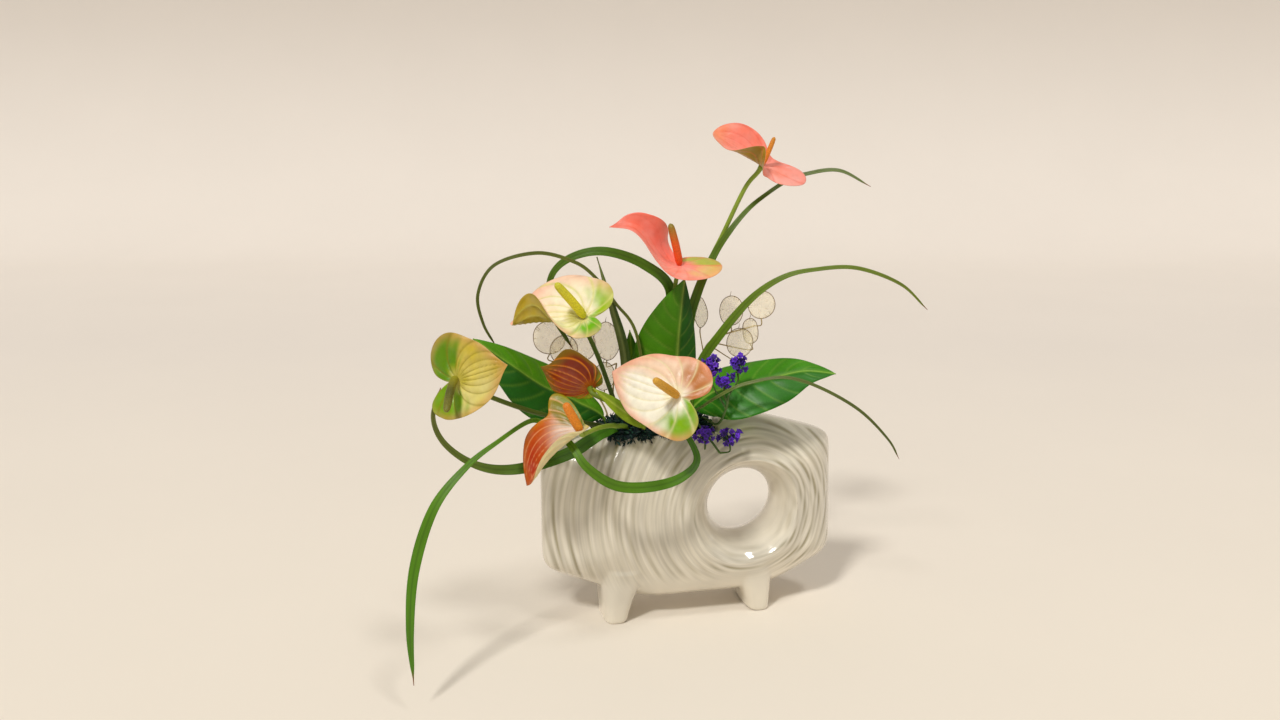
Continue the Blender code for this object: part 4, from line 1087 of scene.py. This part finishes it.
def build_stem(name, spec, tints, finish):
    face = unit(spec["face"])
    end = np.asarray(spec["at"], float) - face * SPATHE_THICK
    route = smooth_route([*spec["stem"], end - face * 8.0, end], 90)
    steps = np.linspace(0, 1, len(route))
    radii = STEM_RADIUS * np.interp(steps, (0, 0.5, 0.93, 0.975, 1), (1.0, 0.92, 0.85, 0.88, 1.15))
    shell = Skin()
    shell.tube(route, radii, 14, along_tones(tints, ramp(steps, 0.2, 1.0)))
    show(name + "_stalk", shell, [finish], [name + "_stem"])


# ================================================================ leaves and straps
def two_sides(line, side, normal, across, height, thick):
    """Grids of the upper and lower side of a blade that lies across a line."""
    sheet = line[:, None] + side[:, None] * across[..., None]
    return [sheet + normal[:, None] * (height + off)[..., None] for off in (thick / 2, -thick / 2)]


def lengthwise(across, along):
    """Flow coordinates of a sheet: how far across it and how far along it each point is."""
    return np.stack([across, np.broadcast_to(along, across.shape), np.zeros(across.shape)], axis=-1)


def leaf_profile(share, widest):
    """Half width of a leaf blade along its length, as a share of its widest half width."""
    share = np.clip(share, 0, 1)
    rising = np.sin(pi / 2 * np.clip(share / widest, 0, 1)) ** 0.75
    falling = np.cos(pi / 2 * np.clip((share - widest) / (1 - widest), 0, 1)) ** 0.95
    return np.where(share < widest, rising, falling)


def build_leaf(name, spec, look, finish, rows=120, half_columns=16):
    route = smooth_route(spec["midrib"], 2 * rows)
    along_share = (np.linspace(0, 1, 2 * rows) - spec["blade_from"]) / (1 - spec["blade_from"])
    side, normal = frames(route, spec["face"])
    blade = along_share >= 0
    p, s, n, t = route[blade], side[blade], normal[blade], along_share[blade]
    u = np.linspace(-1, 1, 2 * half_columns + 1)[None, :]
    half = np.where(u < 0, spec["halves"][0], spec["halves"][1])
    fold = np.where(u < 0, spec["fold"][0], spec["fold"][1])
    width = np.maximum(half * leaf_profile(t, spec["widest"])[:, None], 0.6)
    distance = np.abs(u) * width
    across, drop = bend(distance, fold, LEAF_KNEE)
    ribs = t[:, None] * LEAF_RIBS - 1.5 * np.abs(u) ** 1.2
    between = np.abs(np.sin(pi * ribs)) ** 0.7
    rib_line = np.exp(-((ribs - np.round(ribs)) / 0.07) ** 2) * ramp(np.abs(u), 0.05, 0.2) * ramp(width, 6, 14)
    ease = ramp(distance, 1.5, 6.0) * (1 - ramp(np.abs(u), 0.86, 1.0))
    gully = -0.7 * np.exp(-(distance / 1.6) ** 2)
    wave = 1.1 * np.abs(u) ** 3 * np.sin(2 * pi * (2.2 * t[:, None] + 0.3 * np.sign(u))) * ramp(width, 4, 16)
    height = 0.75 * (between - 0.5) * ease * ramp(width, 6, 16) + gully + wave - drop
    top, under = two_sides(p, s, n, np.sign(u) * across, height, LEAF_THICK * (0.8 - 0.4 * np.abs(u) ** 3))
    left, right, rib, below = (tone(code) for code in look)
    # the two halves' colours: the darker half is painted shade
    tint = mix(left, right, ramp(u + 0.02 * np.sin(9 * t[:, None]), -0.04, 0.04))
    # lighter on the swells between the side veins and darker along them: painted light and shade of the quilted
    # relief
    tint = tint * (0.94 + 0.12 * between * ease)[..., None]
    tint = mix(tint, rib, 0.25 * rib_line)
    tint = mix(tint, rib, 0.85 * np.exp(-(distance / 1.3) ** 2) * (1 - 0.5 * t[:, None]))
    under_tint = mix(below, rib, 0.5 * rib_line)
    flow = lengthwise(np.sign(u) * distance, t[:, None] * route_length(p))
    shell = Skin()
    shell.sheet(top, under, tint, under_tint, flow)
    radii = PETIOLE_RADIUS * np.interp(np.linspace(0, 1, len(route)), (0, spec["blade_from"], 1), (1, 0.85, 0.25))
    shell.tube(route - normal * (radii + 0.15)[:, None], radii, 12, mix(rib, below, 0.4))
    show(name + "_blade", shell, [finish], [name])


def build_strap(name, spec, look, finish, half_columns=6):
    count = int(route_length(np.asarray(spec["route"], float)) / STRAP_STEP)
    route = smooth_route(spec["route"], count)
    steps = np.linspace(0, 1, count)
    half = np.interp(steps, np.linspace(0, 1, len(spec["width"])), spec["width"]) / 2
    half = np.convolve(np.pad(half, 6, mode="edge"), np.ones(13) / 13, mode="valid")
    half *= 1 - ramp(steps, 0.97, 1.0) * 0.8
    facing = np.outer(1 - steps, spec["face"][0]) + np.outer(steps, spec["face"][1])
    side, normal = frames(route, facing)
    u = np.linspace(-1, 1, 2 * half_columns + 1)[None, :]
    keel = (STRAP_KEEL * half / (half + 3))[:, None] * (1 - np.abs(u) ** 1.3)
    ridges = 0.06 * np.cos(u * 5 * pi)
    thick = STRAP_THICK * (0.9 - 0.5 * np.abs(u) ** 2.5)
    top, under = two_sides(route, side, normal, u * half[:, None], ridges - keel, thick)
    tint = np.repeat(along_tones(look, steps)[:, None], u.size, axis=1)
    tint = mix(tint, tint * 0.72, np.exp(-(u / 0.16) ** 2))
    tint = mix(tint, tone(BROWN_TIP), ramp(steps, 0.975, 1.0)[:, None])
    shell = Skin()
    shell.sheet(top, under, tint, tint * 0.9, lengthwise(u * half[:, None], steps[:, None] * route_length(route)))
    show(name + "_blade", shell, [finish], [name])


# ================================================================ lunaria and statice
def pod_foot(spec):
    centre, _, half_high, _ = spec
    return np.asarray(centre, float) - (0, 0, half_high * cos(pi / POD_SIDES))


def head_foot(spec):
    centre, sizes = spec
    return np.asarray(centre, float) - (0, 0, sizes[2] * sin(radians(HEAD_POLE)))


def build_sprig(name, spec, feet, radius, tints, finish):
    """A stem with one branch up to the foot of each thing that it carries."""
    route = smooth_route(spec["stem"], 61)
    shell = Skin()
    shell.tube(route, (radius, radius * 0.9), 10, along_tones(tints, np.linspace(0, 1, 61)))
    for carried, share in spec["carries"].items():
        start = route[int(round(share * 60))]
        foot = feet[carried]
        branch = smooth_route([start, foot - (0, 0, 7.0), foot], 24)
        shades = along_tones(tints[::-1], np.linspace(0, 1, 24))
        shell.tube(branch, (radius * 0.85, radius * 0.6, radius * 0.7), 8, shades)
    show(name + "_twigs", shell, [finish], [name])


def build_pod(name, spec, membrane, twig, rng):
    """A papery disc in a thin dark rim, with short ticks in from the rim and the style's spike on top."""
    centre, half_wide, half_high, turn = spec
    centre = np.asarray(centre, float)
    side = np.array([cos(radians(turn)), sin(radians(turn)), 0.0])
    normal = np.array([-side[1], side[0], 0.0])
    up = np.array([0.0, 0.0, 1.0])

    def at(share, angle, off):
        wide = 1 + 0.03 * np.sin(2 * angle + turn)
        x, z = share * half_wide * np.cos(angle) * wide, share * half_high * np.sin(angle)
        dome = 0.9 * np.sin(3 * angle + turn) * share ** 2 + 0.8 * (1 - share ** 2)
        return centre + x[..., None] * side + z[..., None] * up + (dome + off)[..., None] * normal

    angle = circle(56)[None, :]
    share = np.r_[0.01, np.linspace(0.08, 1.0, 12)][:, None]
    top, under = at(share, angle, 0.12), at(share, angle, -0.12)
    pale, seeds, rim = (tone(code) for code in POD_TONES)
    patches = ramp(np.sin(5 * angle + turn) * np.sin(7 * share + turn), 0.5, 0.95)
    tint = mix(pale, seeds, 0.6 * patches)
    tint = mix(tint, seeds, 0.5 * ramp(share, 0.85, 1.0))
    shell = Skin()
    shell.disc(top, under, tint, tint, lengthwise(4 * angle * np.ones(share.shape), share * half_high))
    edge = at(1.0, np.linspace(0, 2 * pi, 65), 0.0)
    shell.tube(edge, (0.34,), 6, rim, slot=1)
    for tick in rng.uniform(0, 2 * pi, 7):
        inward = np.linspace(0.98, rng.uniform(0.62, 0.78), 5)
        run = at(inward, np.linspace(tick, tick + rng.uniform(-0.12, 0.12), 5), 0.25)
        shell.tube(run, (0.24, 0.14), 5, rim * 0.8, slot=1)
    top_edge = at(1.0, pi / 2 + 0.12, 0.0)
    spike = np.linspace(top_edge, top_edge + (1.2, 0, 5.0), 5)
    shell.tube(spike, (0.36, 0.14), 6, rim, slot=1)
    show(name + "_disc", shell, [membrane, twig], [name])


def floret(shell, place, axis, size, turn, tint):
    """One five-lobed papery floret, a closed trumpet that opens along the axis."""
    side = unit(np.cross(axis, (0.3, 0.2, 0.9)))
    across = np.cross(axis, side)
    rings = []
    for height, wide, notch in ((-1.1, 0.16, 0.0), (-0.5, 0.30, 0.05), (0.0, 0.62, 0.18), (0.22, 1.0, 0.42),
                                (0.10, 0.60, 0.20), (-0.15, 0.20, 0.0)):
        a = circle(20) + turn
        reach = size * wide * (1 - notch * (0.5 - 0.5 * np.cos(5 * (a - turn))))
        outward = np.cos(a)[:, None] * side + np.sin(a)[:, None] * across
        rings.append(place + axis * height * size + reach[:, None] * outward)
    # darker toward the foot and deep inside the trumpet, lightest at the lip: painted shade and painted light
    shades = np.array([tone(CALYX_TONE) * 0.7, tint * 0.55, tint * 0.9, tint * 1.15, tint, tint * 0.45])
    shell.rings(rings, shades)


def build_head(name, spec, finish, rng):
    """A loose head of florets on short green stalks."""
    centre, sizes = np.asarray(spec[0], float), np.asarray(spec[1], float)
    foot = head_foot(spec)
    shell = Skin()
    for i in range(FLORETS_PER_HEAD):
        z = 1 - 2 * (i + 0.5) / FLORETS_PER_HEAD
        a = GOLDEN_ANGLE * i + rng.uniform(-0.3, 0.3)
        flat = (1 - z * z) ** 0.5
        direction = np.array([flat * cos(a), flat * sin(a), z * 0.9 + 0.05])
        place = centre + direction * sizes * rng.uniform(0.4, 1.45)
        axis = unit(direction + rng.normal(0, 0.25, 3) + (0, -0.25, 0.1))
        tint = tone(FLORET_TONES[rng.integers(len(FLORET_TONES))]) * rng.uniform(0.8, 1.25)
        base = place - axis * 3.0
        stalk = smooth_route([foot, (foot + base) / 2 + (0, 0, 0.8), base], 7)
        shell.tube(stalk, (0.5, 0.35), 5, tone(STALK_TONE) * 0.8)
        floret(shell, place, axis, rng.uniform(2.8, 3.8), rng.uniform(0, 2), tint)
    show(name + "_florets", shell, [finish], [name])


# ================================================================ filling
def moss_leaflet(shell, place, axis, size, tint, rng):
    """A small curled leaflet, folded along its middle and pointed at both ends."""
    side = unit(np.cross(axis, rng.normal(0, 1, 3)))
    up = np.cross(side, axis)
    rings = []
    for step, wide, curl in ((0.0, 0.10, 0.0), (0.3, 0.42, 0.08), (0.65, 0.40, 0.20), (1.0, 0.05, 0.45)):
        middle = place + axis * step * size + up * curl * size
        half = side * wide * size * 0.55
        lift = up * wide * size * 0.22
        rings.append([middle - half + lift, middle, middle + half + lift, middle - up * 0.05 * size])
    shell.rings(rings, tint)


def build_moss(finish):
    """The mound, roughened, under a coat of leaflets that spill over the vase's lip."""
    rng = np.random.default_rng(MOSS_SEED)
    low, high = (np.array(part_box("moss")) - SHIFT) / MM
    middle, half = (low + high) / 2, (high - low) / 2
    shell = Skin()
    rings = []
    for z, shrink in ((MOUTH_Z - 10, 2.5), (MOUTH_Z - 2, 2.0), (MOUTH_Z + 1, 1.2), (MOSS_TOP - 2, 4.5),
                      (MOSS_TOP, 11)):
        ring = rounded_ring(middle[0] - half[0] + shrink, middle[0] + half[0] - shrink, half[1] - shrink, z, 72, 4.0)
        rings.append(ring + rng.normal(0, 0.5, ring.shape))
    shell.rings(rings, tone(MOSS_AND_SHADE_TONES[2]))
    for _ in range(MOSS_LEAFLETS):
        x = rng.uniform(middle[0] - half[0] - 1, middle[0] + half[0] + 1)
        y = rng.uniform(-1, 1) * (half[1] + 1.5)
        edge = max(abs(x - middle[0]) / half[0], abs(y) / half[1])
        z = MOSS_TOP + 1 - 7 * ramp(edge, 0.7, 1.05) + rng.uniform(-1.5, 4.0)
        axis = unit([0.5 * (x - middle[0]) / half[0] * edge + rng.normal(0, 0.7),
                     y / half[1] * edge + rng.normal(0, 0.7), 0.75 - 0.6 * edge + rng.normal(0, 0.25)])
        tint = tone(MOSS_AND_SHADE_TONES[rng.integers(len(MOSS_AND_SHADE_TONES))]) * rng.uniform(0.7, 1.3)
        moss_leaflet(shell, np.array([x, y, z]), axis, rng.uniform(4.0, 7.5), tint, rng)
    for x in rng.uniform(MOUTH_X[0] + 10, MOUTH_X[1] - 4, MOSS_DROOPS):
        hang = rng.uniform(2.0, 8.0)
        start = np.array([x, -(half[1] + 1.0), MOUTH_Z + 1.5])
        for drop in np.arange(0, hang, 1.1):
            place = start + (rng.normal(0, 1.0), -4.0 - 0.3 * drop, -drop + 2.0)
            axis = unit([rng.normal(0, 0.8), -0.5, rng.uniform(-1.0, 0.1)])
            moss_leaflet(shell, place, axis, rng.uniform(3.2, 5.5), tone(MOSS_AND_SHADE_TONES[rng.integers(3)]), rng)
    show("moss_tufts", shell, [finish], ["moss"])


# ================================================================ stage
def lamp(name, azimuth, elevation, softness, strength, colour):
    """An even light from a direction: azimuth turns from the front towards the right, in degrees."""
    light = bpy.data.lights.new(name, "SUN")
    light.angle = radians(softness)
    light.energy = strength
    light.color = colour
    placed(name, light).rotation_euler = (radians(90 - elevation), 0.0, radians(azimuth))


def build_stage():
    """A pale floor that sweeps up into a backdrop well behind the arrangement."""
    width, reach, bend_radius, height = 9.0, 3.4, 0.9, 5.0
    profile = [(-6.0, 0.0), (reach - bend_radius, 0.0)]
    for turn in np.linspace(0, pi / 2, 20)[1:]:
        profile.append((reach - bend_radius + bend_radius * sin(turn), bend_radius * (1 - cos(turn))))
    profile.append((reach, height))
    points = [(x, y, z) for y, z in profile for x in (-width, width)]
    faces = [(2 * i, 2 * i + 1, 2 * i + 3, 2 * i + 2) for i in range(len(profile) - 1)]
    mesh = bpy.data.meshes.new("backdrop")
    mesh.from_pydata(points, [], faces)
    smooth(mesh)
    fin = Finish("backdrop_paper", 0.9, Specular_IOR_Level=0.1)
    place = fin.place()
    axes = fin.node("ShaderNodeSeparateXYZ")
    fin.link(place, axes.inputs["Vector"])
    # lighter in front, darker behind: painted light falling off over the paper
    paper = fin.blend(fin.span(axes.outputs["Y"], 0.0, 1.0, -0.2, 1.3), *PAPER_LIGHT_FALLOFF_TONES)
    mesh.materials.append(fin.done(fin.shade(paper, fin.span(fin.noise(place, 3.0), 0.985, 1.0))))
    floor = placed("backdrop", mesh)
    floor.rotation_euler = (0, 0, CAMERA_TURN)


def build_light():
    bpy.context.scene.view_settings.view_transform = "Standard"
    world = bpy.data.worlds.new("soft_room")
    world.use_nodes = True
    background = world.node_tree.nodes["Background"]
    background.inputs["Color"].default_value = (*tone("fff8f0"), 1.0)
    background.inputs["Strength"].default_value = ROOM_LIGHT
    bpy.context.scene.world = world
    lamp("key", -40, 50, 8, 1.68, (1.0, 0.975, 0.93))
    lamp("top", 40, 68, 10, 0.62, (1.0, 0.98, 0.94))


def build_camera():
    camera = bpy.data.cameras.new("front")
    camera.sensor_width = 36.0
    camera.lens = CAMERA_LENS
    obj = placed("front", camera)
    obj.location = Vector(np.array(CAMERA_PLACE) * MM + SHIFT)
    obj.rotation_euler = (radians(90.0 - CAMERA_DIP), 0.0, CAMERA_TURN)
    bpy.context.scene.camera = obj


# ================================================================ build
build_camera()
build_light()
build_stage()
build_vase()

spadix = spadix_finish()
stalk = stem_finish("flower_stalk", 0.42)
blade = leaf_finish()
grass = strap_finish()
straw = stem_finish("dry_straw", 0.6)
twig = stem_finish("green_twig", 0.65)
for flower, spec in FLOWERS.items():
    look = FLOWER_LOOKS[flower]
    build_spathe(flower, spec, look)
    build_spadix(flower, spec, look["spadix"], spadix)
    build_stem(flower, spec, look["stem"], stalk)
for leaf, spec in LEAVES.items():
    build_leaf(leaf, spec, LEAF_LOOKS[leaf], blade)
for strap, spec in STRAPS.items():
    build_strap(strap, spec, STRAP_LOOKS[strap], grass)

pod_feet = {name: pod_foot(spec) for name, spec in PODS.items()}
head_feet = {name: head_foot(spec) for name, spec in STATICE_HEADS.items()}
for sprig, spec in LUNARIA.items():
    build_sprig(sprig, spec, pod_feet, LUNARIA_RADIUS, STRAW_TONES, straw)
for sprig, spec in STATICE.items():
    build_sprig(sprig, spec, head_feet, STATICE_RADIUS, TWIG_TONES, twig)
membrane = membrane_finish()
pod_chance = np.random.default_rng(POD_SEED)
for pod, spec in PODS.items():
    build_pod(pod, spec, membrane, straw, pod_chance)
papery = rough_finish("statice_paper", 900.0, 0.85, 1.2)
head_chance = np.random.default_rng(HEAD_SEED)
for head, spec in STATICE_HEADS.items():
    build_head(head, spec, papery, head_chance)
build_moss(rough_finish("moss_leaf", 500.0, 0.8, 1.15))
for foam_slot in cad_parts["floral_foam"].material_slots:
    foam_slot.material = foam_finish()
